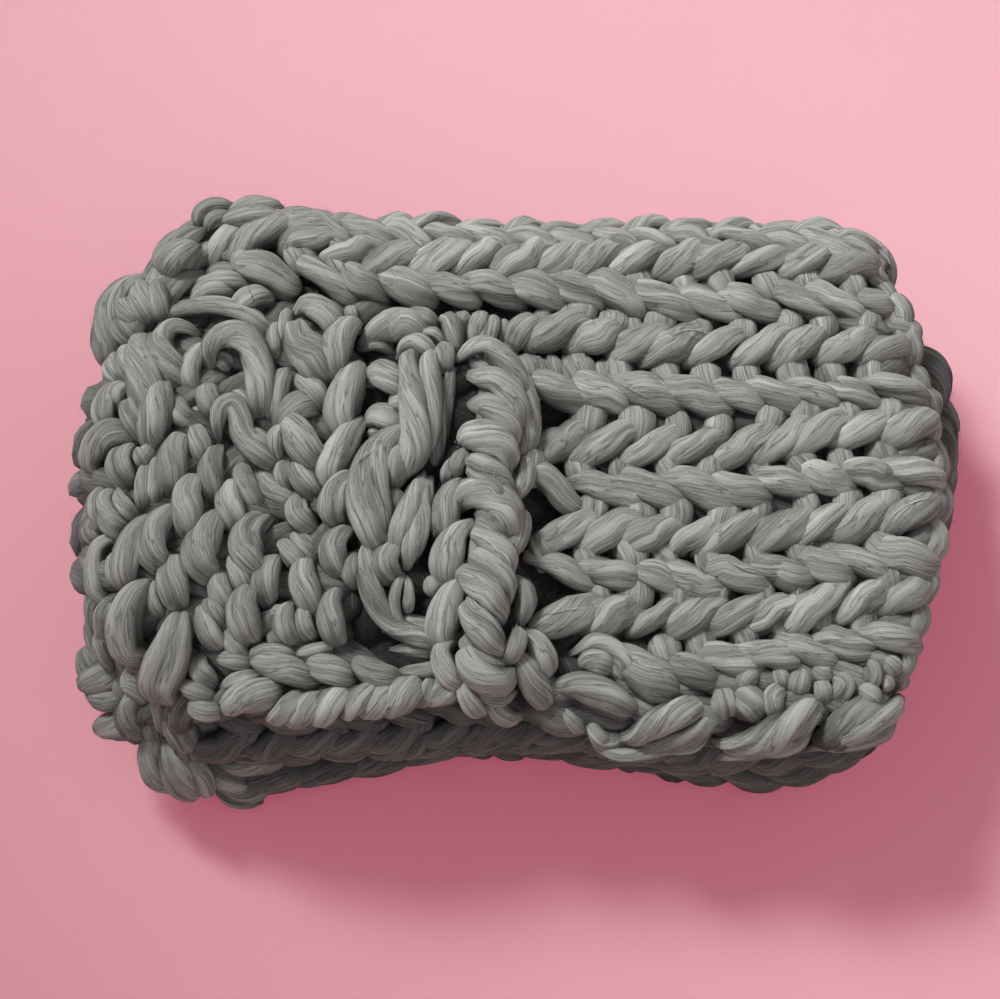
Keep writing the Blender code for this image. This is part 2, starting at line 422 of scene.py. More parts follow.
# %% [markdown]
# ## The stitch
# Plain knitting is made of loops, and each loop shows two legs in a V. Here the columns of Vs
# run from left to right, so one row of legs leans up to the right and the next down to the
# right. The legs could be one long wavy strand, as in the real cloth, but only their upper
# sides can be seen, so short strands that dive between their neighbours do as well and are
# easier to place. The knit is loose: behind each leg a short upright strand crosses the dark
# gap to the next row. LEG and RUNG are the two tables: on counts stitches along the row, up
# counts row heights (for RUNG, shares of the row's reach), lift is in millimetres and girth
# counts half strands. Every strand is varied a little, because no two stitches are alike.

# %% The two strands of a stitch
STITCH = 20.5          # mm, from one leg to the next
LegPoint = namedtuple("LegPoint", "on up lift girth")
LEG = (
    LegPoint(-0.18, 0.40, -4.4, 0.46),
    LegPoint(0.02, 0.33, 0.2, 0.77),
    LegPoint(0.30, 0.20, 3.2, 0.97),
    LegPoint(0.60, 0.03, 4.4, 1.06),
    LegPoint(0.92, -0.14, 3.8, 1.03),
    LegPoint(1.22, -0.27, 0.8, 0.87),
    LegPoint(1.39, -0.33, -4.5, 0.52),
)
RUNG = (
    LegPoint(0.06, 1.00, -5.0, 0.84),
    LegPoint(0.06, 0.72, -0.8, 1.10),
    LegPoint(0.10, 0.44, 0.2, 1.08),
    LegPoint(0.20, 0.10, -3.0, 0.80),
)
# lean: 1 where the legs lean up to the right, -1 where they lean down to the right. tall and
# width: height of the row and thickness of its yarn at the left and right end. sink: how far
# the row lies below its surface. line: places of the row's middle, from left to right.
# reach: how far behind the row's middle an upright strand starts.
Row = namedtuple("Row", "lean tall width reach sink line")

# %% Laying a row
ROW_END, FIRST_LEG = 0.6, 0.15     # stitches: what a row's ends take up, and where its first leg is
KINDS = ((LEG, 0.8, 1.0), (RUNG, 0.3, 0.7))        # table, share of the rings and of the sides
POINT_VARIETY = (0.03, 0.03, 0.6, 0.05)            # how on, up, lift and girth vary at a point
STRAND_VARIETY = ((0, 0.09), (1, 0.14), (3, 0.08))  # how on, up and girth vary from strand to strand
RUNG_FOOT = 0.3        # an upright strand lies in its row up to here, and beyond it reaches back


# finish holds a row's hairs and its shade; the shade paints its wool darker, as painted shade.
def lay_row(piece, row, place, rings, sides, **finish):
    """The legs of one row. place(x, up, lift) carries them to their surface, all in mm."""
    line = np.array(row.line, float)
    first, last = line[0, 0], line[-1, 0]
    count = max(int(round((last - first) / STITCH - ROW_END)), 1)
    step = (last - first) / (count + ROW_END)
    starts = first + step * (np.arange(count) + FIRST_LEG)
    if row.lean > 0:
        starts = last - step * (np.arange(count) + FIRST_LEG)
    starts = starts + random.normal(0, 0.06 * step, count)
    for table, share_rings, share_sides in KINDS:
        legs = np.repeat(np.array(table)[None], count, axis=0)
        fade = np.sin(np.linspace(0.15, np.pi - 0.15, len(table)))[None, :]
        for column, amount in enumerate(POINT_VARIETY):
            legs[:, :, column] += fade * random.normal(0, amount, (count, len(table)))
        for column, amount in STRAND_VARIETY:
            legs[:, :, column] *= 1 + random.normal(0, amount, (count, 1))
        curve = smooth_path(legs, int(rings * share_rings))
        lay_legs(piece, row, place, starts, step, curve, int(sides * share_sides), finish)


def lay_legs(piece, row, place, starts, step, curve, sides, finish):
    """Strands of one kind in a row, carried to their surface."""
    line = np.array(row.line, float)
    first, last = line[0, 0], line[-1, 0]
    x = starts[:, None] - row.lean * curve[..., 0] * step
    share = np.clip((x - first) / (last - first), 0, 1)
    tall = row.tall[0] + share * (row.tall[1] - row.tall[0])
    width = row.width[0] + share * (row.width[1] - row.width[0])
    upright = np.clip((curve[..., 1] - RUNG_FOOT) / (1 - RUNG_FOOT), 0, 1)
    up = np.minimum(curve[..., 1], RUNG_FOOT) * tall + upright * (row.reach - RUNG_FOOT * tall)
    y = np.interp(x, line[:, 0], line[:, 1]) + up
    lift = curve[..., 2] - row.sink
    centres, normals = place(x, y, lift)
    piece.add(centres, normals, curve[..., 3] * width / 2 * MM, lift, sides, **finish)


# %% [markdown]
# ## Rows of the top layer
# The right half shows the knit plainly, in rows that bend a little and close up towards the
# right edge. Behind them the rows run the whole width, and the last ones go round the fold.
# The surface they lie on is that of the top layer, seen from above.

# %% The top surface
STEEPEST = 0.97        # how far round its edges the top surface goes, as a share of their radius


def top_height(x, y):
    """Height of the top layer's middle surface at a place seen from above."""
    layer = LAYERS[TOP]
    share_across = (x / HALF_WIDTH + 1) / 2
    y_front, y_back = along_row(layer.front, share_across), along_row(layer.back, share_across)
    share_along = (y - y_front) / (y_back - y_front)
    left, right = along_row(layer.left, share_along), along_row(layer.right, share_along)
    z = BOTTOM_LEVEL + TOP * LAYER_PITCH + relief_height(x, y)
    z = z + WAVE_HEIGHT * np.sin(2 * np.pi * x / WAVE_LENGTH_X) * np.cos(2 * np.pi * y / WAVE_LENGTH_Y)
    for past, radius in ((left + ROLL_LEFT - x, ROLL_LEFT), (x - right + ROLL_RIGHT, ROLL_RIGHT),
                         (y_front + ROLL_FRONT - y, ROLL_FRONT), (y - y_back, ROLL_BACK)):
        z = z - radius * (1 - np.sqrt(1 - np.clip(past / radius, 0, STEEPEST) ** 2))
    return z


def top_normal(x, y, reach=0.004):
    over = (top_height(x + reach, y) - top_height(x - reach, y)) / (2 * reach)
    on = (top_height(x, y + reach) - top_height(x, y - reach)) / (2 * reach)
    return unit(np.stack([-over, -on, np.ones_like(over)], axis=-1))


def on_top(x, y, lift):
    """Places above the top surface, from millimetres."""
    x, y = x * MM, y * MM
    normal = top_normal(x, y)
    return np.stack([x, y, top_height(x, y)], axis=-1) + normal * (lift * MM)[..., None], normal


# %% The rows
TOP_ROWS = (
    # the back strip, across the whole width, and the thin rows on the fold behind it
    Row(1, (14, 14), (13, 12), 3, -1, ((-100, 134), (-75, 132), (-50, 131), (40, 131), (80, 133),
                                       (130, 131), (160, 127), (184, 113))),
    Row(-1, (16, 15), (14, 13), 8, -1, ((-136, 133), (-120, 134), (-105, 133), (-92, 130), (-70, 126),
                                         (-50, 124), (60, 124), (130, 124), (160, 120), (186, 110))),
    Row(1, (23, 17), (17, 15), 8, 0, ((-180, 112), (-174, 119), (-163, 124), (-140, 127), (-112, 128),
                                      (-97, 122), (-84, 116), (-60, 114), (0, 115), (120, 115),
                                      (158, 113), (178, 107))),
    Row(-1, (22, 16), (16, 14), 17, 0, ((-138, 108), (-125, 109), (-110, 108), (-95, 105),
                                        (-80, 102), (-20, 100), (40, 100), (60, 95), (90, 92), (140, 94.5),
                                        (192, 88))),
    # the right half, from back to front
    Row(1, (21, 17), (16, 14.5), 18, 0, ((-2, 79), (28, 77), (52, 72), (79, 70), (102, 70),
                                         (150, 70), (194, 71))),
    Row(-1, (21, 16), (15.5, 14), 20, 0, ((2, 47), (36, 47), (85, 44), (150, 46), (200, 49))),
    Row(1, (21, 17), (16, 14.5), 20, 0, ((6, 21), (28, 22), (60, 19), (97, 18), (130, 23),
                                         (160, 28), (204, 31))),
    Row(-1, (21, 16), (15.5, 14), 18, 0, ((2, -2), (27, -2), (67, -2), (97, -4), (130, 1),
                                          (160, 5), (205, 9))),
    Row(1, (21, 17), (16, 14.5), 17, 0, ((6, -22), (36, -22), (85, -26), (140, -20), (204, -12))),
    Row(-1, (21, 16), (15.5, 14), 18, 0, ((4, -43), (49, -43), (79, -47), (105, -45), (150, -39),
                                          (199, -33))),
    Row(1, (21, 17), (16, 14.5), 17, 0, ((8, -64), (60, -64), (116, -63), (150, -58), (195, -52))),
    Row(-1, (23, 16), (16, 13), 22, 0, ((42, -92), (73, -92), (92, -86), (118, -82), (147, -78),
                                        (188, -72))),
)
top_rows = YarnPiece("top_rows")
for row in TOP_ROWS:
    lay_row(top_rows, row, on_top, 34, 18)

# %% [markdown]
# ## Rows of the lower layers
# Below the top layer only the folds and the edges can be seen. Rows that go round a fold or lie
# at the free front edge are knitted across the whole width. Between the layers the stitches are
# left out, apart from those near the side edges, and the ground cloth alone goes on. A chain of
# legs closes each side edge, where one row of the hand knitting turned back into the next.

# %% The cloth below
def side_edges(along):
    """The cloth's left and right edges at a place along it, on the flat cloth."""
    start = 0.0
    for step in range(2 * len(LAYERS) - 1):
        index = TOP - step // 2
        run = LAYER_RUN if step % 2 == 0 else FOLD_RUN
        if along <= start + run:
            break
        start += run
    share = np.array(min((along - start) / run, 1.0))
    to_back = (TOP - index) % 2 == 0
    if step % 2 == 0:
        share = share if to_back else 1 - share
        return tuple(float(along_row(side, share)) for side in (LAYERS[index].left, LAYERS[index].right))
    end = np.array(1.0 if to_back else 0.0)
    return tuple(float(along_row(upper, end) * (1 - share) + along_row(lower, end) * share)
                 for upper, lower in ((LAYERS[index].left, LAYERS[index - 1].left),
                                      (LAYERS[index].right, LAYERS[index - 1].right)))


LAYER_MM, FOLD_MM = LAYER_RUN / MM, FOLD_RUN / MM
PERIOD = LAYER_MM + FOLD_MM
EDGE_INSET = 4         # mm, how far inside the cloth's edges the rows end
STATIONS = np.linspace(0.0, CLOTH_RUN, 240)
LEFT_EDGE, RIGHT_EDGE = np.array([side_edges(value) for value in STATIONS]).T


def on_face(x, y, lift, face=1.0):
    """Places on the folded cloth, where y runs along the flat cloth in millimetres."""
    across, along = x * MM, y * MM
    normal = cloth_normal(across, along) * face
    return cloth_point(across, along) + normal * (lift * MM)[..., None], normal


def on_reverse(x, y, lift):
    return on_face(x, y, lift, face=-1.0)


def upper_side(along):
    """1 where the knitted face looks up, -1 where the cloth lies face down."""
    return np.where(np.floor((along + FOLD_MM / 2) / PERIOD) % 2 == 0, 1.0, -1.0)[..., None]


def on_left_edge(x, y, lift):
    """Places for a row that runs along the cloth's left edge, with its legs starting inside."""
    return on_face(np.interp(x * MM, STATIONS, LEFT_EDGE) / MM + EDGE_INSET + y, x, lift, upper_side(x))


def on_right_edge(x, y, lift):
    return on_face(np.interp(x * MM, STATIONS, RIGHT_EDGE) / MM - EDGE_INSET - y, x, lift, upper_side(x))


# %% Rows round the folds
FOLD_ROW_PITCH = 20    # all in mm
FOLD_LEAD = 14         # how far before a fold its first row lies
UPPER_FOLD_START = 36  # the rows of the top layer cover the upper fold as far as this
FOLD_END = 12          # how far past a fold its last row may lie
fold_rows = YarnPiece("fold_rows")


def plain_row(lean, start, end, y, sink):
    return Row(lean, (22, 22), (16, 16), 17, sink, ((start, y), (end, y)))


def leaning(count):
    """Up to the right, and down to the right in every second row."""
    return 1 - 2 * (count % 2)


# shade paints the wool of a row darker, as painted shade.
def across_the_width(lean, y, place, sink=1.0, shade=0.8, insets=(EDGE_INSET, EDGE_INSET)):
    left, right = (edge / MM for edge in side_edges(y * MM))
    row = plain_row(lean, left + insets[0], right - insets[1], y, sink)
    lay_row(fold_rows, row, place, 20, 12, hairs=0.05, shade=shade)


for turn, lead, left_inset in ((0, UPPER_FOLD_START, 10), (2, -FOLD_LEAD, EDGE_INSET)):
    fold_start = turn * PERIOD + LAYER_MM
    places = np.arange(fold_start + lead, fold_start + FOLD_MM + FOLD_END, FOLD_ROW_PITCH)
    for count, y in enumerate(places):
        across_the_width(leaning(count), y, on_face, insets=(left_inset, EDGE_INSET))

# %% Rows seen from the front
# Painted shade: these rows lie in shadow under the top layer, so their wool is painted darker.
FRONT_SHADE = 0.45
FRONT_SINK = 4.0       # the bottom layer's own front edge lies deeper
fold_start = PERIOD + LAYER_MM
front_rows = [(y, 0.0) for y in np.arange(fold_start - FOLD_LEAD, fold_start + FOLD_MM + FOLD_END,
                                          FOLD_ROW_PITCH)]
front_rows += [(CLOTH_RUN / MM - 38, FRONT_SINK), (CLOTH_RUN / MM - 16, FRONT_SINK)]
for count, (y, sink) in enumerate(front_rows):
    def seen_from_front(x, along, lift, middle=y):
        return on_reverse(x, 2 * middle - along, lift)
    across_the_width(leaning(count), y, seen_from_front, sink, FRONT_SHADE, insets=(10 + 2 * sink, 24))

# %% Rows and chains at the side edges
ROW_PITCH = 21.0
SIDE_REACH = 60        # mm of each hidden row that is knitted at its ends
# SIDE_SHADE is painted shade on the wool at the side edges.
SIDE_SHADE = 0.7
SIDE_CHAINS = ((on_left_edge, 6, 38), (on_right_edge, 26, 14))   # place, how late it starts, trim
side_rows = YarnPiece("side_rows")
for layer in range(len(LAYERS)):
    layer_start = layer * PERIOD
    layer_end = layer_start + LAYER_MM
    at_bottom = layer == TOP
    places = np.arange(layer_start + 8, layer_end - (34 if at_bottom else 8), ROW_PITCH)
    for count, y in enumerate(places):
        left, right = (edge / MM for edge in side_edges(y * MM))
        if layer == 0:
            spans, sink = ((left - 34, left + 26), (right - 30, right + 10)), 6
        else:
            spans, sink = ((left + 2, left + SIDE_REACH), (right - SIDE_REACH, right - 2)), 2
        for start, end in spans:
            lay_row(side_rows, plain_row(leaning(count), start, end, y, sink),
                    on_reverse if layer % 2 else on_face, 14, 12, hairs=0.04, shade=SIDE_SHADE)
    if layer > 0:
        for place, late, trim in SIDE_CHAINS:
            start = layer_start - FOLD_MM / 2 + late
            end = CLOTH_RUN / MM - trim if at_bottom else layer_end + FOLD_MM / 2 - 6
            chain = Row(1, (16, 16), (16, 16), 16, 0, ((start, 0), (end, 0)))
            lay_row(side_rows, chain, place, 18, 10, hairs=0.04, shade=SIDE_SHADE)

# %% [markdown]
# ## Strands laid one by one
# Left of the rows the top layer is a turned corner, whose stitches run slantwise, and two long ridges, where
# the cloth is gathered and its stitches open into loops. No two strands are alike there, so each is given
# one by one: its width, how high its middle lies above the cloth and the places it passes, all in
# millimetres. Its ends dive between its neighbours. Plain rows lie under them as a bed, so that a gap
# between two strands shows yarn.

# %% Laying a strand
Strand = namedtuple("Strand", "width lift path")


def strands(*rows):
    """A table of strands: each row has a width, a lift and then the places of the path."""
    return tuple(Strand(width, lift, path) for width, lift, *path in rows)


FULLNESS = 1.24        # the yarn swells beyond the width given
END_DEPTH = -4.0       # where the ends of a strand lie
DIVE = 9.0             # over this length they rise to the top
START_TIP, START_REACH = 0.22, 0.58    # thickness where a strand starts, and how far it swells
END_TIP, END_REACH = 0.46, 1.0         # the same at its rounder end, in thicknesses


# finish holds the shade of a table, painted shade that darkens its wool.
def lay_strands(piece, table, rings=30, sides=20, stations=9, **finish):
    """Strands of a table, on the top layer, or through their own heights if the path has them."""
    steps = np.linspace(0, 1, stations)
    lines, girths, normals, lifts = [], [], [], []
    for strand in table:
        path = np.array(strand.path, float)
        width = strand.width * FULLNESS
        line = smooth_path(path[None], 41)[0]
        length = np.concatenate([[0], np.cumsum(np.linalg.norm(np.diff(line, axis=0), axis=1))])
        line = np.stack([np.interp(steps * length[-1], length, column) for column in line.T], axis=-1)
        from_end = np.minimum(steps, 1 - steps) * length[-1]
        rise = smooth_step(from_end / min(DIVE, 0.42 * length[-1]))
        lift = END_DEPTH + (strand.lift - END_DEPTH) * rise
        start_reach = min(2.0 * width, START_REACH * length[-1])
        end_reach = min(END_REACH * width, 0.40 * length[-1])
        from_start, to_end = (np.minimum(run * length[-1] / reach, 1)
                              for run, reach in ((steps, start_reach), (1 - steps, end_reach)))
        swell = np.minimum(START_TIP + (1 - START_TIP) * np.sin(0.5 * np.pi * from_start) ** 0.85,
                           END_TIP + (1 - END_TIP) * np.sin(0.5 * np.pi * to_end) ** 0.8)
        if path.shape[1] == 3:
            normal = unit(np.array([0.0, -0.25, 1.0]) + np.zeros((stations, 3)))
            centre = line * MM + normal * (lift * MM)[:, None]
        else:
            centre, normal = on_top(line[:, 0], line[:, 1], lift)
        lines.append(centre)
        girths.append(swell * width / 2 * MM)
        normals.append(normal)
        lifts.append(lift)
    lines, normals, girths, lifts = (np.array(rows) for rows in (lines, normals, girths, lifts))
    centres = smooth_path(lines, rings)
    girths, lifts = (smooth_path(values[..., None], rings)[..., 0] for values in (girths, lifts))
    piece.add(centres, unit(smooth_path(normals, rings)), girths, lifts, sides, flatness=0.84,
              lobes=0.045, crease=0.21, **finish)


# %% [markdown]
# ## The bed
# Under the strands laid one by one the same knit goes on, a little deeper. It could be left out, but then a
# gap between two strands would show the bare ground cloth. Plain rows of legs fill the gaps cheaply: they
# lie 8 mm down at the left, 13 under the ridges and 10 under the rows. Only the trough beside the main ridge
# is left open, which keeps it dark.

# %% The bed
BED_SINK, RIDGE_SINK, ROWS_SINK = 8.0, 13.0, 10.0
# Painted shade: the wool of each bed is painted darker, most under the ridges.
BED_SHADE, RIDGE_SHADE, ROWS_SHADE = 0.75, 0.34, 0.50
BED_PITCH = 19.0       # mm, as all that follows
BED_LEFT, BED_FRONT, BED_BACK = -196, -104, 96
BED_INSET = 12         # how far inside the right edge the deep rows stop
TROUGH_LEFT, TROUGH_RIGHT, TROUGH_FRONT, TROUGH_FOOT = 12, 34, -62, 16


def right_end(y):
    """Where the rows of the bed stop at the right, in millimetres."""
    layer = LAYERS[TOP]
    share = (y * MM - min(layer.front)) / (max(layer.back) - min(layer.front))
    return float(along_row(layer.right, np.array(share))) / MM - BED_INSET


def deep_row(lean, start, end, sink, width, shade, height=22, reach=16):
    """A plain row of the bed, between two places on the top layer."""
    row = Row(lean, (height, height), width, reach, sink, (start, end))
    lay_row(bed_rows, row, on_top, 16, 9, hairs=0, shade=shade)


bed_rows = YarnPiece("bed_rows")
for count, y in enumerate(np.arange(BED_FRONT, BED_BACK, BED_PITCH)):
    lean = leaning(count)
    right = -62 if y > 76 or y < -80 else -78
    deep_row(lean, (BED_LEFT, y), (right, y), BED_SINK, (16, 16), BED_SHADE)
    if y > -86:
        past_trough = TROUGH_RIGHT if y > TROUGH_FRONT else TROUGH_FOOT
        deep_row(lean, (right - 8, y), (TROUGH_LEFT, y), RIDGE_SINK, (17, 17), RIDGE_SHADE)
        deep_row(lean, (past_trough, y), (right_end(y), y), ROWS_SINK, (17, 17), ROWS_SHADE)
for y in (-114, -102):
    deep_row(-1, (0, y), (right_end(y) + 4, y + 12), BED_SINK - 1, (16, 15), BED_SHADE, 20, 15)

# %% [markdown]
# ## The turned corner
# At the left of the top layer a corner of the cloth is turned over, so its stitches run
# slantwise and their loops open. Along its back edge they stand up in small arches, and at the
# left edge they roll down over the layers below. The strands are 5 to 18 mm wide and overlap
# like tiles: the lift says which of two strands lies on top.

# %% The turned corner
CORNER = strands(
    # the long strand and the small arches along its back edge
    (10, 5, (-180, 78), (-168, 84), (-150, 87), (-138, 84), (-128, 78), (-121, 73)),
    (11, 6, (-157, 76), (-166, 77), (-174, 70), (-172, 62), (-166, 55), (-162, 50)),
    (9, 4, (-151, 72), (-158, 63), (-161, 54), (-158, 45)),
    (13, 8, (-151, 57), (-150, 67), (-142, 73), (-132, 69), (-127, 58), (-126, 44), (-128, 34)),
    (8, 1, (-149, 61), (-145, 62), (-142, 59)),
    (8, 3, (-142, 48), (-135, 41), (-127, 33)),
    (10, 5, (-146, 22), (-146, 33), (-141, 40), (-136, 34), (-134, 24), (-127, 15), (-118, 9)),
    (10, 4, (-134, 29), (-128, 21), (-119, 14)),
    (10, 2, (-151, 53), (-152, 44), (-148, 33)),
    (5, -1, (-166, 43), (-154, 43)),
    (5, -2, (-161, 38), (-152, 36)),
    (8, 4, (-125, 66), (-124, 57), (-120, 48)),
    (8, 4, (-118, 83), (-120, 72), (-119, 61)),
    (6, 5, (-113, 91), (-115, 78), (-117, 66)),
    (12, 6, (-113, 88), (-102, 87), (-93, 79), (-89, 70)),
    (17, 8, (-108, 82), (-108, 72), (-101, 61), (-95, 49)),
    (14, 7, (-78, 82), (-86, 74), (-91, 62), (-91, 50)),
    (6, 4, (-92, 89), (-89, 79)),
    (6, 4, (-84, 89), (-82, 80)),
    (11, 5, (-112, 59), (-118, 46), (-120, 31)),
    (12, 6, (-109, 55), (-102, 46), (-96, 36)),
    # left edge, rolling over
    (16, 4, (-187, 79), (-184, 63), (-182, 47), (-180, 31)),
    (8, 5, (-178, 70), (-172, 57), (-166, 47)),
    (9, 3, (-191, 76), (-192, 64), (-190, 51)),
    (9, 2, (-197, 77), (-200, 64), (-199, 51)),
    (10, 4, (-191, 53), (-197, 48), (-200, 38), (-200, 26)),
    (9, 4, (-189, 51), (-194, 45), (-196, 38)),
    (10, 6, (-189, 45), (-187, 34), (-182, 21)),
    (14, 6, (-175, 54), (-175, 41), (-177, 28), (-179, 17)),
    (10, 2, (-172, 46), (-166, 36), (-158, 30)),
    (13, 5, (-207, 4), (-203, 17), (-196, 24), (-187, 25)),
    (11, 6, (-188, 21), (-191, 9), (-189, -3)),
    (7, 4, (-185, 18), (-180, 7)),
    (7, 3, (-177, 19), (-182, 9)),
    (7, 4, (-179, 13), (-181, -1), (-181, -15)),
    (7, 4, (-174, 17), (-175, 3), (-176, -13)),
    (9, 3, (-201, 2), (-203, -10), (-203, -22)),
    (10, 4, (-197, 0), (-198, -10), (-194, -20), (-188, -26)),
    (8, 4, (-194, 0), (-190, -9), (-184, -20)),
    (8, 1, (-205, -4), (-207, -18), (-204, -30)),
    # the slanting rows of stitches
    (13, 6, (-163, 26), (-167, 13), (-168, -6)),
    (10, 4, (-158, 31), (-155, 20), (-152, 9)),
    (11, 6, (-145, 20), (-149, 7), (-147, -9)),
    (14, 7, (-155, 5), (-160, -9), (-159, -28)),
    (12, 6, (-139, 3), (-140, -10), (-135, -24)),
    (11, 2, (-136, 13), (-133, 0), (-126, -14)),
    (10, 0, (-128, 10), (-120, -3), (-107, -13)),
    (9, 5, (-112, 31), (-118, 22), (-118, 11)),
    (15, 8, (-117, 32), (-109, 27), (-103, 17), (-96, 8)),
    (13, 6, (-119, 26), (-114, 34), (-105, 39), (-97, 40)),
    (7, 3, (-112, 15), (-115, 5), (-111, -5)),
    (11, 5, (-110, 14), (-105, 3), (-97, -7)),
    (11, 5, (-107, -4), (-107, -16), (-99, -24)),
    (14, 7, (-163, -11), (-174, -22), (-176, -34), (-169, -44)),
    (12, 6, (-171, -15), (-182, -25), (-187, -39), (-188, -53)),
    (15, 7, (-143, -13), (-150, -26), (-153, -38), (-147, -48)),
    (13, 7, (-164, -34), (-165, -47), (-163, -62)),
    (9, 2, (-173, -45), (-174, -56), (-170, -66)),
    (16, 7, (-177, -47), (-184, -60), (-185, -73), (-178, -83)),
    (10, 4, (-190, -80), (-187, -90), (-181, -101)),
    (11, 2, (-182, -82), (-178, -92), (-174, -101)),
    (18, 8, (-160, -62), (-163, -75), (-167, -90), (-168, -103)),
    (9, 5, (-194, -52), (-196, -62), (-195, -75)),
    (9, 4, (-192, -30), (-197, -27), (-201, -35), (-201, -47), (-198, -59)),
    (9, 3, (-191, -30), (-192, -41), (-190, -52)),
    (8, 1, (-199, -60), (-203, -72), (-200, -85)),
    (14, 7, (-120, -15), (-129, -23), (-131, -34), (-123, -47)),
    (9, 5, (-116, -26), (-110, -35), (-102, -44)),
    (9, 2, (-110, -21), (-104, -30), (-98, -38)),
    (12, 6, (-116, -34), (-121, -46), (-121, -59)),
    (9, 5, (-140, -34), (-135, -43), (-131, -56)),
    (10, 5, (-143, -41), (-143, -52), (-138, -64)),
    (10, 5, (-153, -58), (-149, -69), (-141, -81)),
    (9, 5, (-147, -54), (-146, -63), (-141, -71)),
    (14, 7, (-128, -49), (-132, -62), (-128, -78)),
    (9, 4, (-140, -69), (-136, -77), (-131, -85)),
    (10, 5, (-109, -57), (-112, -68), (-108, -79)),
    (8, 5, (-103, -57), (-103, -68), (-99, -77)),
    (6, 3, (-119, -63), (-112, -64)),
    (6, 3, (-119, -71), (-115, -79)),
    (13, 6, (-102, -35), (-103, -49), (-98, -65)),
)

# %% [markdown]
# ## The two ridges
# In the middle the cloth is gathered into two long, raised folds. In the left one the legs are
# pulled long and lie side by side, like the strands of a rope, and short rungs join it to the
# column of stitches beside it. The main ridge is wrapped: short, thick legs cross it slantwise,
# each tucked under the next, round a core of two hidden strands.

# %% The column beside it and the left ridge
LEFT_RIDGE = strands(
    (8, 0, (-66, -71), (-54, -68), (-44, -71), (-36, -77)),
    (7, -1, (-63, -79), (-50, -80), (-38, -82)),
    # the column
    (15, 6, (-78, 62), (-82, 48), (-85, 34), (-84, 21)),
    (13, 6, (-76, 33), (-83, 19), (-90, 5), (-92, -4)),
    (13, 6, (-78, 4), (-86, -6), (-90, -22)),
    (12, 6, (-82, -21), (-88, -33), (-87, -47)),
    (8, 2, (-78, -33), (-81, -42), (-80, -52)),
    (11, 6, (-87, -50), (-90, -63), (-87, -79)),
    # the arches at the back
    (15, 6, (-78, 71), (-69, 77), (-58, 78), (-47, 72)),
    (8, 4, (-60, 89), (-50, 85), (-40, 78)),
    (6, 3, (-50, 75), (-44, 73), (-37, 72)),
    (7, 2, (-79, 69), (-71, 70), (-62, 68)),
    (10, 2, (-62, 65), (-53, 67), (-43, 64)),
    # the rungs
    (13, 4, (-76, 50), (-68, 53), (-60, 48), (-54, 42)),
    (11, 3, (-77, 30), (-68, 32), (-56, 27)),
    (9, 3, (-64, 35), (-57, 38), (-51, 35)),
    (5, 1, (-76, 24), (-65, 23)),
    # the long strands of the ridge
    (13, 7, (-51, 64), (-50, 48), (-49, 32), (-51, 16), (-58, 2)),
    (12, 3, (-44, 64), (-43, 48), (-44, 32), (-48, 12)),
    (8, -2, (-33, 54), (-37, 39), (-40, 24), (-43, 8)),
    (17, 6, (-50, 27), (-60, 21), (-69, 11), (-73, -4), (-72, -19), (-68, -34)),
    (12, 6, (-52, 19), (-59, 10), (-62, -3)),
    (8, 4, (-72, -16), (-67, -26), (-61, -33)),
    (9, 4, (-74, -28), (-73, -45), (-68, -59), (-59, -69), (-49, -73), (-38, -80)),
    (10, 7, (-47, 5), (-51, -8), (-57, -22), (-61, -36)),
    (9, 7, (-44, 3), (-46, -12), (-50, -26), (-55, -42)),
    (9, 2, (-61, -2), (-60, -18)),
    (11, 5, (-58, -29), (-64, -40), (-61, -50)),
    (5, 3, (-56, -43), (-60, -56), (-58, -66), (-51, -70)),
    (5, 3, (-55, -45), (-53, -56), (-56, -65)),
    (8, 2, (-43, -47), (-41, -55)),
    (9, -1, (-41, 71), (-37, 61), (-38, 50)),
)

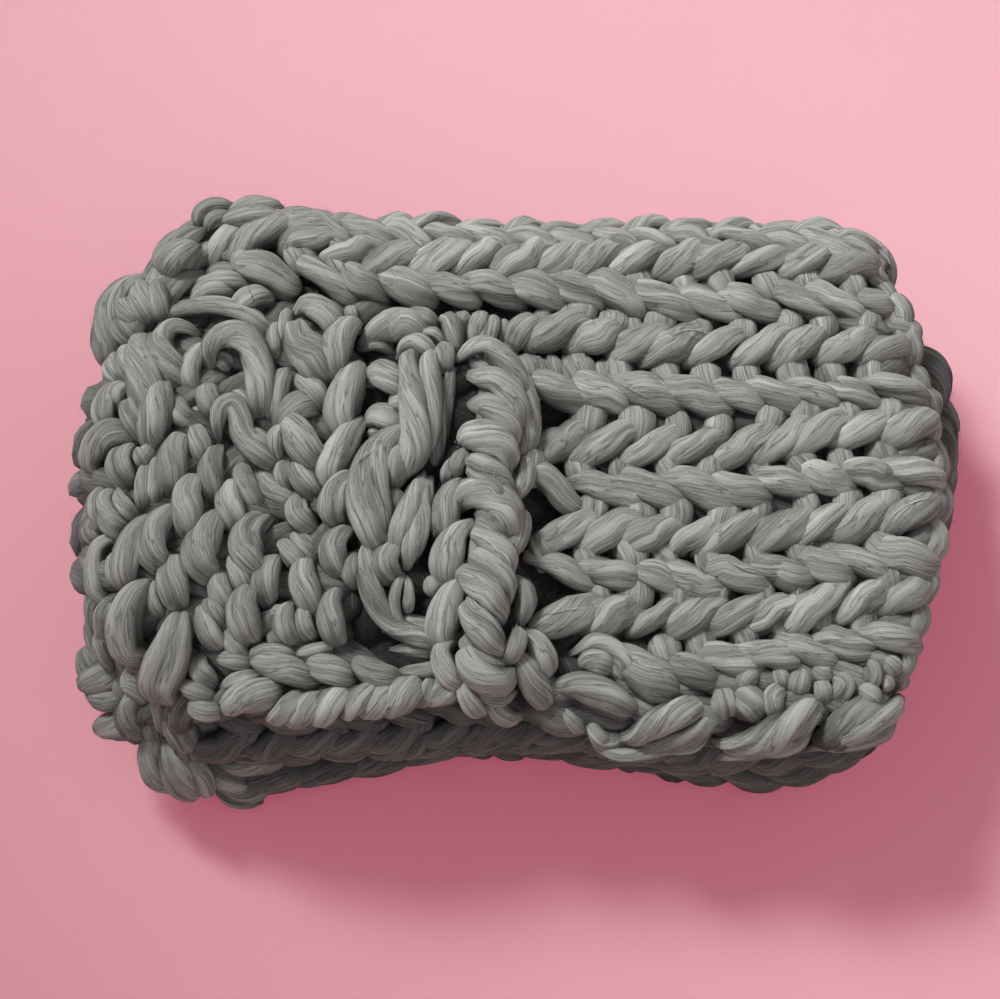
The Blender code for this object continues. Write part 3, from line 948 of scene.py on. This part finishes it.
# %% The main ridge
MAIN_RIDGE = strands(
    # the core that the ridge's strands wrap
    (15, 1, (-24, 60), (-15, 46), (-14, 28), (-14, 8), (-15, -14)),
    (15, 1, (-14, -6), (-16, -28), (-17, -50), (-18, -74)),
    # the strands that cross over at its back end
    (13, 6, (-31, 59), (-22, 61), (-13, 56), (-6, 46), (-3, 36)),
    (10, 6, (-9, 62), (-5, 54), (-2, 42), (0, 28), (0, 12)),
    (16, 6, (-25, 50), (-16, 46), (-9, 36), (-6, 23)),
    (15, 6, (-25, 36), (-17, 33), (-11, 25), (-8, 14)),
    # the legs of the ridge, each tucked under the next
    (15, 7, (-31, 19), (-22, 19), (-14, 14), (-7, 3)),
    (15, 7, (-26, 10), (-20, 4), (-14, -5), (-10, -16)),
    (15, 7, (-31, -14), (-23, -9), (-15, -11), (-9, -21), (-7, -30)),
    (11, 6, (-23, -17), (-16, -22), (-9, -34)),
    (12, 7, (-25, -25), (-18, -29), (-11, -38), (-7, -49)),
    (12, 7, (-25, -36), (-18, -42), (-12, -51), (-8, -62)),
    (13, 8, (-31, -52), (-24, -48), (-17, -55), (-10, -69)),
    (14, 7, (-24, -56), (-20, -66), (-16, -76), (-11, -86)),
    (7, 5, (-28, -73), (-23, -82), (-15, -88), (-7, -91)),
    (13, 7, (-26, -79), (-21, -89), (-13, -94), (-3, -95)),
    (8, 4, (-23, -95), (-14, -101), (-3, -103)),
    (10, 5, (-28, -92), (-24, -101), (-18, -112)),
    (9, 3, (-17, -99), (-11, -108), (-1, -114)),
    # thin strands along its right side
    (10, 4, (1, 15), (-1, 3), (-7, -12)),
    (9, 4, (-1, -11), (-3, -25), (-8, -40)),
    (9, 4, (-3, -45), (-1, -57), (1, -70)),
    (8, 4, (-1, -70), (-4, -80), (-8, -91)),
    (11, 1, (3, -71), (8, -82), (13, -95)),
    (12, 2, (-2, -83), (4, -96), (13, -108)),
    # and along its left side
    (6, 0, (-33, 12), (-35, 5), (-38, -2)),
    (7, 4, (-27, 17), (-28, 9), (-33, 0)),
    (13, 5, (-27, 1), (-34, -13), (-38, -30)),
    (14, 6, (-24, -20), (-31, -34), (-37, -52)),
    (14, 6, (-26, -47), (-33, -62), (-37, -82)),
    (10, 5, (-30, -73), (-35, -84), (-32, -93), (-26, -100)),
    # the short strands behind it
    (10, 5, (-38, 88), (-34, 78), (-31, 68)),
    (7, 5, (-27, 87), (-30, 77)),
    (8, 5, (-19, 90), (-21, 80), (-25, 72)),
    (9, 4, (-14, 87), (-16, 77), (-18, 70)),
    (6, 2, (-8, 86), (-9, 72)),
    (13, 5, (10, 84), (2, 79), (-6, 70)),
    (4, 3, (2, 60), (8, 58), (10, 50), (6, 43), (1, 42)),
)

# %% [markdown]
# ## The front edge
# The cloth's free edge is bound off with a chain of legs. At the left it lies flat, as a strip
# in front of the turned corner; at the right it hangs over a little, and loose loops stand
# between it and the first row.

# %% The strip in front of the corner
FRONT_STRIP = strands(
    (13, 6, (-130, -82), (-118, -87), (-106, -93), (-97, -96)),
    (7, 6, (-130, -87), (-124, -80), (-114, -81), (-106, -86)),
    (12, 6, (-103, -84), (-90, -91), (-79, -95)),
    (11, 6, (-81, -83), (-70, -92), (-57, -95)),
    (9, 4, (-146, -84), (-137, -84), (-127, -87)),
    (7, 4, (-144, -97), (-134, -95), (-123, -91)),
    (8, 3, (-110, -83), (-98, -81), (-88, -80)),
    (9, 4, (-152, -81), (-152, -89), (-146, -97)),
    (9, 4, (-163, -93), (-154, -98), (-146, -103)),
    (9, 3, (-159, -102), (-150, -107), (-141, -110)),
    (14, 6, (-142, -109), (-132, -104), (-121, -102), (-113, -101)),
    (11, 5, (-122, -113), (-112, -108), (-101, -102)),
    (11, 5, (-113, -115), (-103, -109), (-93, -102)),
    (12, 5, (-101, -115), (-91, -107), (-81, -99)),
    (12, 5, (-87, -112), (-78, -105), (-67, -98)),
    (11, 5, (-77, -112), (-68, -106), (-57, -99)),
    (13, 5, (-67, -111), (-58, -104), (-48, -95)),
    (8, 2, (-50, -108), (-44, -100), (-40, -93)),
    (10, 2, (-47, -106), (-37, -101), (-27, -96)),
    (8, 0, (-60, -90), (-45, -91), (-33, -88)),
)

# %% The right front edge
RIGHT_FRONT = strands(
    # upright strands in the wide gaps between the back rows
    (9, 0, (10, 92), (11, 86), (9, 80)),
    (10, 1, (21, 93), (22, 86), (20, 79)),
    (9, 1, (32, 92), (32, 85), (34, 78)),
    (10, 0, (44, 91), (43, 84), (45, 76)),
    (9, 0, (56, 89), (55, 82), (57, 74)),
    (9, -1, (4, 69), (3, 58), (5, 50)),
    (11, 0, (15, 68), (14, 58), (16, 49)),
    (10, 0, (31, 68), (31, 58), (30, 49)),
    (9, -1, (40, 66), (40, 58), (43, 50)),
    # the bound edge, from the main ridge to the right corner, and the loops behind it
    (8, 7, (23, -82), (33, -77), (43, -80), (49, -87), (48, -97)),
    (12, 4, (27, -86), (34, -85), (42, -88)),
    (7, 4, (52, -90), (55, -98)),
    (15, 6, (13, -98), (24, -97), (38, -102), (53, -109)),
    (6, 3, (16, -107), (24, -112), (31, -119)),
    (8, 6, (29, -112), (39, -118), (50, -121)),
    (12, 6, (44, -121), (56, -115), (70, -110), (86, -106)),
    (8, 5, (50, -125), (65, -120), (84, -115), (93, -110)),
    (6, 4, (33, -122), (43, -128), (56, -128), (74, -124), (90, -117)),
    (14, 7, (91, -122), (106, -119), (121, -115), (133, -110), (140, -106)),
    (7, 4, (92, -129), (110, -127), (126, -122), (137, -118)),
    (10, 5, (139, -123), (152, -117), (163, -112), (172, -106), (181, -100)),
    (7, 4, (136, -125), (154, -121), (168, -116), (178, -107)),
    (11, 4, (94, -98), (96, -111)),
    (9, 4, (102, -100), (106, -93), (112, -91)),
    (12, 5, (101, -99), (107, -105), (112, -111)),
    (10, 4, (125, -98), (118, -103), (120, -112)),
    (8, 3, (121, -89), (123, -97)),
    (9, 4, (133, -89), (129, -101)),
    (7, 3, (137, -87), (142, -92), (147, -89)),
    (8, 3, (141, -94), (143, -104)),
    (9, 4, (146, -91), (152, -97), (147, -104)),
    (8, 3, (162, -83), (165, -91), (162, -100)),
    (8, 3, (159, -97), (167, -105)),
    (8, 3, (170, -83), (177, -91)),
    (6, 3, (170, -91), (172, -99)),
    (7, 2, (179, -87), (180, -97)),
)

# %% [markdown]
# ## Strands of the lower layers
# At the left front the lower layers push a bundle of loops out from under the top one, and at the right
# front a corner hangs down. These paths have a third number, the height above the table, because they leave
# the cloth's surface. The steps between them lie in deep shadow, so their wool is painted darker.

# %% Loops that hang out of the lower layers
LOWER_LOOPS = strands(
    (13, 0, (-186, -84, 66), (-202, -86, 64), (-217, -89, 60)),
    (12, 0, (-187, -95, 62), (-200, -95, 61), (-213, -93, 58)),
    (13, 0, (-180, -107, 56), (-194, -108, 54), (-210, -109, 50)),
    (5, 2, (-199, -83, 68), (-196, -93, 66), (-190, -102, 60)),
    (11, 3, (-186, -92, 76), (-192, -104, 66), (-189, -116, 52)),
    (8, 2, (-182, -96, 72), (-182, -107, 62), (-181, -117, 50)),
    (12, 4, (-173, -108, 54), (-181, -117, 48), (-181, -128, 38), (-175, -136, 26)),
    (13, 6, (-173, -112, 56), (-171, -122, 50), (-168, -132, 40), (-164, -140, 26)),
    (10, 5, (-167, -113, 54), (-160, -122, 48), (-156, -132, 38), (-158, -139, 26)),
    (9, 4, (-172, -100, 62), (-160, -105, 60), (-148, -107, 60), (-138, -103, 62)),
    (9, 4, (-141, -108, 60), (-131, -105, 62), (-119, -101, 64)),
    (12, 3, (-162, -122, 32), (-150, -129, 26), (-138, -135, 20)),
    (9, 3, (-158, -128, 18), (-146, -134, 15), (-134, -136, 14), (-126, -130, 18)),
    (8, 2, (-156, -133, 11), (-144, -139, 10), (-131, -140, 10)),
    (14, 1, (-156, -117, 38), (-142, -122, 36), (-129, -122, 34), (-117, -119, 32)),
    (16, 0, (-186, -96, 40), (-182, -112, 34), (-175, -124, 24)),
    (16, 0, (-192, -86, 44), (-192, -100, 38), (-187, -112, 30)),
)

# %% Strands of the steps at the front
STEPS = strands(
    # the middle fold, in shadow under the top layer
    (12, 2, (-152, -118, 56), (-136, -118, 60), (-120, -114, 62), (-106, -112, 62)),
    (12, 2, (-114, -121, 56), (-98, -118, 60), (-84, -118, 60), (-70, -116, 60)),
    (8, 5, (-60, -122, 50), (-52, -120, 58), (-46, -112, 66)),
    (12, 2, (-78, -122, 54), (-62, -118, 58), (-46, -116, 60)),
    (12, 2, (-52, -121, 56), (-36, -117, 60), (-18, -115, 60)),
    (12, 2, (-26, -120, 56), (-10, -116, 60), (8, -115, 60)),
    (12, 2, (2, -120, 56), (18, -118, 58), (34, -119, 58)),
    (12, 2, (28, -122, 56), (44, -122, 58), (60, -122, 58)),
    (12, 2, (56, -124, 56), (72, -123, 58), (90, -123, 58)),
    # the bottom layer's free edge
    (13, 1, (-144, -134, 16), (-126, -130, 18), (-106, -126, 18)),
    (13, 1, (-118, -131, 14), (-98, -126, 18), (-80, -122, 18)),
    (12, 1, (-92, -127, 14), (-74, -122, 18), (-54, -117, 18)),
    (12, 1, (-66, -121, 14), (-46, -115, 18), (-28, -113, 18)),
    (11, 1, (-38, -115, 14), (-20, -112, 18), (-2, -111, 18)),
    (11, 1, (-10, -113, 14), (8, -113, 18), (26, -116, 18)),
    (11, 1, (18, -117, 14), (36, -118, 18), (54, -119, 18)),
    (11, 1, (46, -120, 14), (62, -120, 18), (80, -122, 18)),
    (12, 1, (72, -123, 14), (88, -125, 18), (104, -129, 18)),
    # the corner that hangs at the right
    (13, 5, (122, -120, 70), (140, -124, 70), (158, -121, 72), (172, -111, 74)),
    (10, 5, (132, -124, 66), (150, -127, 66), (166, -118, 68)),
    (15, 4, (92, -120, 34), (104, -125, 30), (118, -129, 24), (132, -130, 22)),
    (15, 4, (114, -122, 36), (130, -126, 32), (146, -124, 30), (158, -117, 32)),
    (12, 4, (104, -114, 46), (120, -119, 42), (138, -120, 40), (154, -114, 42)),
    (10, 3, (148, -124, 24), (158, -118, 26), (166, -108, 30)),
    # the lower layers' lobes at the right
    (14, 0, (196, 84, 64), (207, 76, 60), (210, 62, 60), (204, 48, 62)),
    (13, 0, (203, 54, 60), (213, 44, 56), (213, 30, 56), (205, 20, 60)),
    (12, 0, (203, 24, 58), (211, 12, 54), (206, 0, 58)),
)

# %% [markdown]
# ## The side edge and the back corners
# The edge at the right is a chain of stitches, each starting under the one before. At the back
# corners the cloth turns round its fold, so strands are laid round the corner, one above the
# other, and close it from every side.

# %% The edge chain at the right and the back corners
EDGES = strands(
    (12, 0, (172, 110), (179, 102), (181, 90)),
    (13, 0, (162, 138, 82), (173, 132, 80), (181, 121, 78), (184, 108, 80)),
    (12, 2, (182, 104), (187, 92), (186, 80)),
    (12, 2, (187, 86), (192, 75), (190, 62)),
    (12, 2, (190, 68), (195, 56), (193, 42)),
    (12, 2, (192, 48), (198, 36), (197, 22)),
    (12, 2, (196, 30), (201, 16), (199, 2)),
    (12, 2, (198, 9), (201, -4), (197, -17)),
    (12, 2, (197, -11), (198, -24), (193, -37)),
    (12, 2, (193, -31), (193, -44), (188, -56)),
    (12, 2, (188, -50), (187, -63), (181, -75)),
    (11, 2, (182, -70), (181, -83), (175, -94)),
    # the back left corner, with the yarn that fills it from below
    (16, 0, (-148, 136, 84), (-164, 130, 82), (-178, 117, 80), (-190, 103, 80)),
    (16, 0, (-176, 118, 80), (-190, 105, 78), (-198, 90, 78), (-201, 70, 78)),
    (15, 0, (-146, 128, 92), (-164, 120, 92), (-180, 106, 92), (-190, 90, 92)),
    (15, 0, (-158, 112, 96), (-174, 104, 96), (-186, 90, 97), (-190, 76, 98)),
    (15, 0, (-148, 134, 72), (-164, 125, 71), (-179, 110, 69), (-189, 92, 67)),
    (15, 0, (-150, 138, 60), (-166, 128, 58), (-182, 112, 56), (-192, 92, 54)),
    (15, 0, (-146, 136, 34), (-160, 126, 32), (-174, 110, 30), (-186, 90, 28)),
    (9, 5, (-178, 96), (-162, 101), (-148, 103), (-134, 104)),
    (11, 6, (-163, 91), (-152, 96), (-141, 101)),
    (12, 6, (-121, 96), (-132, 91), (-142, 86)),
    (7, 4, (-176, 91), (-167, 94), (-158, 93)),
    (7, 4, (-168, 86), (-158, 90), (-149, 90)),
    (14, 2, (-182, 110, 94), (-195, 104, 93), (-203, 93, 91), (-205, 80, 88), (-204, 66, 84)),
    (12, 2, (-158, 134, 97), (-168, 128, 97), (-176, 120, 96), (-180, 112, 95)),
    (12, 3, (-160, 125, 101), (-170, 119, 101), (-179, 110, 99)),
    (14, 0, (-176, 124, 88), (-164, 134, 86), (-148, 140, 86)),
    (11, 4, (-189, 108, 96), (-186, 96, 101), (-181, 83, 105)),
    (11, 3, (-180, 107, 100), (-178, 95, 103), (-176, 83, 106)),
    (12, 2, (-198, 101, 93), (-194, 92, 96), (-186, 84, 101)),
    (10, 2, (-200, 92, 92), (-196, 82, 96), (-190, 74, 100)),
    (8, 4, (-180, 105), (-165, 110), (-150, 112), (-137, 111)),
    (5, 5, (-153, 117), (-145, 120), (-136, 117)),
    (8, 2, (-161, 134, 94), (-161, 143, 92), (-154, 148, 91), (-143, 147, 92)),
    (8, 2, (-157, 133, 97), (-153, 139, 96), (-145, 141, 96)),
    (12, 2, (-148, 143, 93), (-134, 146, 93), (-120, 145, 92)),
    (10, 2, (-124, 143, 93), (-109, 141, 94), (-94, 136, 95)),
    (10, 2, (-101, 138, 94), (-84, 135, 94), (-68, 131, 93)),
    (10, 2, (-150, 137, 101), (-134, 138, 102), (-118, 137, 101)),
    (10, 2, (-122, 136, 101), (-104, 134, 101), (-86, 128, 101)),
)

# %% [markdown]
# ## From tables to yarn
# The tables become four pieces, each one joined mesh, so that the bundle stays a handful of
# objects. A smaller shade darkens the wool of strands that lie deep inside.

# %% Yarn of the pieces laid one by one
strand_pieces = []
for name, tables in (("turned_corner", ((CORNER, 1.0),)), ("ridges", ((LEFT_RIDGE, 1.0), (MAIN_RIDGE, 1.0))),
                     ("front_strands", ((FRONT_STRIP, 1.0), (RIGHT_FRONT, 1.0), (EDGES, 0.9))),
                     ("lower_strands", ((LOWER_LOOPS, 0.9), (STEPS, 0.45)))):
    piece = YarnPiece(name)
    for table, shade in tables:
        lay_strands(piece, table, shade=shade)
    strand_pieces.append(piece)
    print(name, "has", sum(len(table) for table, _ in tables), "strands laid by hand")

# %% [markdown]
# ## The wool
# Roving is a thick bundle of fibres with hardly any twist. Close up it shows fine streaks along the strand,
# a few dark splits between its bundles, and small flecks. Noise stretched along the yarn gives all three,
# and follows every bend without a seam, because each strand carries its own coordinates round it and along
# it. The darkness of the splits is painted shade. The fibres also raise the surface a little, and a faint
# sheen keeps it dry and soft. Two more values ride on each strand: its tone, since no two are dyed alike,
# and its painted light, which paints shade on wool that little light can reach.

# %% The fibres of roving, as a node group
def roving():
    """Colour and height of the fibres, from the places, tones and painted light that the yarn carries."""
    group = bpy.data.node_groups.new("roving", "ShaderNodeTree")
    for name, way, kind in (("Fibre", "INPUT", "Vector"), ("Tone", "INPUT", "Float"),
                            ("Painted light", "INPUT", "Float"), ("Light wool", "INPUT", "Color"),
                            ("Dark wool", "INPUT", "Color"), ("Color", "OUTPUT", "Color"),
                            ("Height", "OUTPUT", "Float")):
        group.interface.new_socket(name, in_out=way, socket_type="NodeSocket" + kind)
    nodes, links = group.nodes, group.links
    given, made = nodes.new("NodeGroupInput"), nodes.new("NodeGroupOutput")

    def noise(stretch, scale, detail, roughness, distortion):
        along = nodes.new("ShaderNodeVectorMath")
        along.operation = "MULTIPLY"
        along.inputs[1].default_value = (1, 1, stretch)
        links.new(given.outputs["Fibre"], along.inputs[0])
        texture = nodes.new("ShaderNodeTexNoise")
        for name, value in (("Scale", scale), ("Detail", detail), ("Roughness", roughness),
                            ("Distortion", distortion)):
            texture.inputs[name].default_value = value
        links.new(along.outputs[0], texture.inputs["Vector"])
        return texture.outputs["Fac"]

    def maths(operation, first, second=0.0):
        node = nodes.new("ShaderNodeMath")
        node.operation = operation
        for socket, value in zip(node.inputs, (first, second)):
            if isinstance(value, (int, float)):
                socket.default_value = value
            else:
                links.new(value, socket)
        return node.outputs[0]

    def span(value, low, high, to_low, to_high):
        node = nodes.new("ShaderNodeMapRange")
        node.interpolation_type = "SMOOTHSTEP"
        links.new(value, node.inputs["Value"])
        for name, number in (("From Min", low), ("From Max", high), ("To Min", to_low), ("To Max", to_high)):
            node.inputs[name].default_value = number
        return node.outputs["Result"]

    bundles = noise(0.22, 2.6, 1.0, 0.5, 0.15)
    fibres = noise(0.12, 11.0, 4.0, 0.68, 0.2)
    specks = noise(0.35, 40.0, 2.0, 0.6, 0.3)
    split = span(maths("ABSOLUTE", maths("SUBTRACT", bundles, 0.5)), 0.0, 0.035, 0.0, 1.0)
    mix = maths("ADD", maths("MULTIPLY", bundles, 0.30), maths("MULTIPLY", fibres, 0.52))
    mix = maths("ADD", mix, maths("MULTIPLY", specks, 0.18))
    ramp = nodes.new("ShaderNodeMix")
    ramp.data_type = "RGBA"
    links.new(span(mix, 0.34, 0.65, 0.0, 1.0), ramp.inputs["Factor"])
    links.new(given.outputs["Dark wool"], ramp.inputs["A"])
    links.new(given.outputs["Light wool"], ramp.inputs["B"])
    # Painted shade: the colour is darkened in the splits between bundles and by the painted light each
    # strand carries; the tone varies it at random.
    tone_and_painted_shade = maths("MULTIPLY", span(split, 0.0, 1.0, 0.56, 1.0), given.outputs["Painted light"])
    tone_and_painted_shade = maths("MULTIPLY", tone_and_painted_shade, maths("ADD", maths("MULTIPLY", given.outputs["Tone"], 0.09), 1.0))
    tone_and_shade_scale = nodes.new("ShaderNodeVectorMath")
    tone_and_shade_scale.operation = "SCALE"
    links.new(ramp.outputs["Result"], tone_and_shade_scale.inputs[0])
    links.new(tone_and_painted_shade, tone_and_shade_scale.inputs["Scale"])
    links.new(tone_and_shade_scale.outputs[0], made.inputs["Color"])
    links.new(maths("ADD", mix, maths("MULTIPLY", split, 0.35)), made.inputs["Height"])
    return group


# %% The wool material
def wool(name, group, light, shadow):
    """Matt wool of two tones, with the fibres of the group in its colour and its surface."""
    material = bpy.data.materials.new(name)
    material.use_nodes = True
    nodes, links = material.node_tree.nodes, material.node_tree.links
    shader = nodes["Principled BSDF"]
    fibres = nodes.new("ShaderNodeGroup")
    fibres.node_tree = group
    for attribute, output, socket in (("fibre", "Vector", "Fibre"), ("tone", "Fac", "Tone"),
                                      ("open", "Fac", "Painted light")):
        source = nodes.new("ShaderNodeAttribute")
        source.attribute_name = attribute
        links.new(source.outputs[output], fibres.inputs[socket])
    fibres.inputs["Light wool"].default_value = light
    fibres.inputs["Dark wool"].default_value = shadow
    bump = nodes.new("ShaderNodeBump")
    bump.inputs["Strength"].default_value = 0.45
    bump.inputs["Distance"].default_value = 0.0012
    links.new(fibres.outputs["Height"], bump.inputs["Height"])
    links.new(fibres.outputs["Color"], shader.inputs["Base Color"])
    links.new(bump.outputs["Normal"], shader.inputs["Normal"])
    shader.inputs["Roughness"].default_value = 0.95
    shader.inputs["Specular IOR Level"].default_value = 0.12
    shader.inputs["Sheen Weight"].default_value = 0.12
    return material


roving_group = roving()
print("the roving group has", len(roving_group.nodes), "nodes")
LIGHT_WOOL, DARK_WOOL = (0.474, 0.502, 0.466, 1), (0.178, 0.191, 0.174, 1)
wool_material = wool("wool", roving_group, LIGHT_WOOL, DARK_WOOL)

# %% [markdown]
# ## Making the pieces
# Each collected piece now becomes one mesh with its three values at every point. All of them lie still with
# the blanket, so they ride on its root and carry the wool material.

# %% Make the pieces
yarn = [fold_rows, side_rows, top_rows, bed_rows, *strand_pieces, fuzz]
pieces = [piece.finish(wool_material) for piece in yarn]
for piece in pieces:
    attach(piece, "root")

# %% [markdown]
# ## The ground cloth
# Deep between the stitches a knit lies in shade and looks nearly black. A thin sheet that follows all the
# folds closes it from inside, and stands for the imported solid; its nearly black wool is painted shade. It
# stops short of the edges, so that only yarn shows there, and in the top layer it lies a little below the
# middle of the yarn.

# %% The ground cloth's shape
GROUND_DEPTH = 0.007   # below the middle of the yarn, in the top layer
GROUND_ENDS = 0.014    # how far it stops short at the ends of the cloth
GROUND_EDGES = 0.012   # and at its side edges, below the top layer
# In the top layer it goes on round the rolled edges by these lengths.
ROUND_LEFT, ROUND_RIGHT = 0.042, 0.024
BLEND = 0.02           # over this length the one becomes the other
along = np.linspace(GROUND_ENDS, CLOTH_RUN - GROUND_ENDS, 260)
on_roll = smooth_step((LAYER_RUN + BLEND - along) / BLEND)
left = np.interp(along, STATIONS, LEFT_EDGE) + GROUND_EDGES - ROUND_LEFT * on_roll
right = np.interp(along, STATIONS, RIGHT_EDGE) - GROUND_EDGES + ROUND_RIGHT * on_roll
share = np.linspace(0.0, 1.0, 60)
across = left[:, None] + share[None, :] * (right - left)[:, None]
along = along[:, None] + 0 * across
depth = GROUND_DEPTH * smooth_step((LAYER_RUN + FOLD_RUN / 2 - along) / BLEND)
grid = cloth_point(across, along) - cloth_normal(across, along) * depth[..., None]
rows, columns = grid.shape[:2]
ids = np.arange(rows * columns).reshape(rows, columns)
faces = np.stack([ids[:-1, :-1], ids[:-1, 1:], ids[1:, 1:], ids[1:, :-1]], axis=-1).reshape(-1, 4)
print("ground cloth", rows, "by", columns, "points")

# %% The ground cloth as a sheet
ground_mesh = bpy.data.meshes.new("ground_cloth")
ground_mesh.from_pydata(grid.reshape(-1, 3).tolist(), [], faces.tolist())
ground = bpy.data.objects.new("ground_cloth", ground_mesh)
bpy.context.scene.collection.objects.link(ground)
places = np.stack([across / YARN * 3, along / YARN * 3, 0 * across], axis=-1)
carry(ground_mesh, places, 0 * across, 0 * across + 1)
# The inner wool is painted nearly black, as painted shade deep inside the knit.
INNER_SHADE_LIGHT, INNER_SHADE_DARK = (0.060, 0.062, 0.057, 1), (0.018, 0.018, 0.016, 1)
ground_mesh.materials.append(wool("inner_wool_painted_dark", roving_group, INNER_SHADE_LIGHT, INNER_SHADE_DARK))
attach(ground, "root")
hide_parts("blanket")

# %% [markdown]
# ## The floor
# The bundle lies on matt pink paper, large enough to fill every view. A plain colour would look
# like plastic, so its tint drifts a little and a fine grain breaks the light. Pink paper also
# throws pink light back on itself; a faint red glow stands for that, and keeps the shadow
# crimson while the wool stays grey.

# %% The paper on the floor
floor_mesh = bpy.data.meshes.new("floor")
FLOOR = 12             # metres from its middle to its sides
floor_mesh.from_pydata([(-FLOOR, -FLOOR, 0), (FLOOR, -FLOOR, 0), (FLOOR, FLOOR, 0), (-FLOOR, FLOOR, 0)],
                       [], [(0, 1, 2, 3)])
floor = bpy.data.objects.new("floor", floor_mesh)
bpy.context.scene.collection.objects.link(floor)
paper = bpy.data.materials.new("pink_paper")
paper.use_nodes = True
nodes, links = paper.node_tree.nodes, paper.node_tree.links
places = nodes.new("ShaderNodeTexCoord")
pulp = nodes.new("ShaderNodeTexNoise")
for name, value in (("Scale", 9.0), ("Detail", 8.0), ("Roughness", 0.65)):
    pulp.inputs[name].default_value = value
tint = nodes.new("ShaderNodeMix")
tint.data_type = "RGBA"
tint.inputs["A"].default_value = (0.560, 0.396, 0.416, 1)
tint.inputs["B"].default_value = (0.590, 0.420, 0.440, 1)
grain = nodes.new("ShaderNodeTexNoise")
grain.inputs["Scale"].default_value = 900.0
relief = nodes.new("ShaderNodeBump")
relief.inputs["Strength"].default_value = 0.12
relief.inputs["Distance"].default_value = 0.0003
shader = nodes["Principled BSDF"]
for source, output, node, socket in ((places, "Object", pulp, "Vector"), (places, "Object", grain, "Vector"),
                                     (pulp, "Fac", tint, "Factor"), (grain, "Fac", relief, "Height"),
                                     (tint, "Result", shader, "Base Color"),
                                     (relief, "Normal", shader, "Normal")):
    links.new(source.outputs[output], node.inputs[socket])
shader.inputs["Roughness"].default_value = 0.85
# The faint red glow is painted bounce light from the pink paper.
shader.inputs["Emission Color"].default_value = (1.0, 0.04, 0.18, 1)
shader.inputs["Emission Strength"].default_value = 0.24
floor_mesh.materials.append(paper)
print("floor", [round(side, 1) for side in floor.dimensions])

# %% [markdown]
# ## The camera
# The bundle is seen from high above its front, nearly from the top. A long lens from farther off
# keeps the sides nearly parallel, so the layers below show only as narrow steps.

# %% Camera
camera_data = bpy.data.cameras.new("camera")
camera = bpy.data.objects.new("camera", camera_data)
bpy.context.scene.collection.objects.link(camera)
camera_data.sensor_width = 36
camera_data.lens = 86.4
elevation = math.radians(76)     # above the floor
target = np.array([-0.0105, 0.0045, 0.06])
distance = 1.2
camera.location = target + distance * np.array([0, -math.cos(elevation), math.sin(elevation)])
camera.rotation_euler = (math.radians(90) - elevation, 0, 0)
bpy.context.scene.camera = camera
print("camera at", [round(value, 3) for value in camera.location])

# %% [markdown]
# ## The light
# A soft lamp behind the left shoulder of the bundle shapes every strand: bright above, dark
# towards the right front. Its beam is narrow, so the light fades to the left and the front. A
# wide lamp at the same place lights the rest of the paper, and a fill from the front and a
# pale world keep the shadows open.

# %% Lights
def area_light(name, place, aim, size, power, colour=(1, 1, 1)):
    data = bpy.data.lights.new(name, "AREA")
    data.energy, data.size, data.color = power, size, colour
    lamp = bpy.data.objects.new(name, data)
    bpy.context.scene.collection.objects.link(lamp)
    lamp.location = place
    direction = Vector(aim) - Vector(place)
    lamp.rotation_euler = direction.to_track_quat("-Z", "Y").to_euler()
    print(name, "lamp", size, "m wide,", power, "W")
    return lamp


KEY_PLACE, KEY_COLOUR = (-1.11, 1.65, 2.0), (1.0, 1.0, 0.99)
key = area_light("key", KEY_PLACE, (0.14, 0.25, 0.05), 1.0, 3.35, KEY_COLOUR)
key.data.spread = math.radians(23)
area_light("wide key", KEY_PLACE, (0.0, 0.0, 0.05), 1.0, 5, KEY_COLOUR)
area_light("fill", (0.5, -0.9, 1.6), (0, 0, 0.05), 1.6, 3)
world = bpy.data.worlds.new("studio")
world.use_nodes = True
world.node_tree.nodes["Background"].inputs["Color"].default_value = (1, 0.85, 0.88, 1)
world.node_tree.nodes["Background"].inputs["Strength"].default_value = 0.35
bpy.context.scene.world = world
bpy.context.scene.view_settings.view_transform = "Standard"
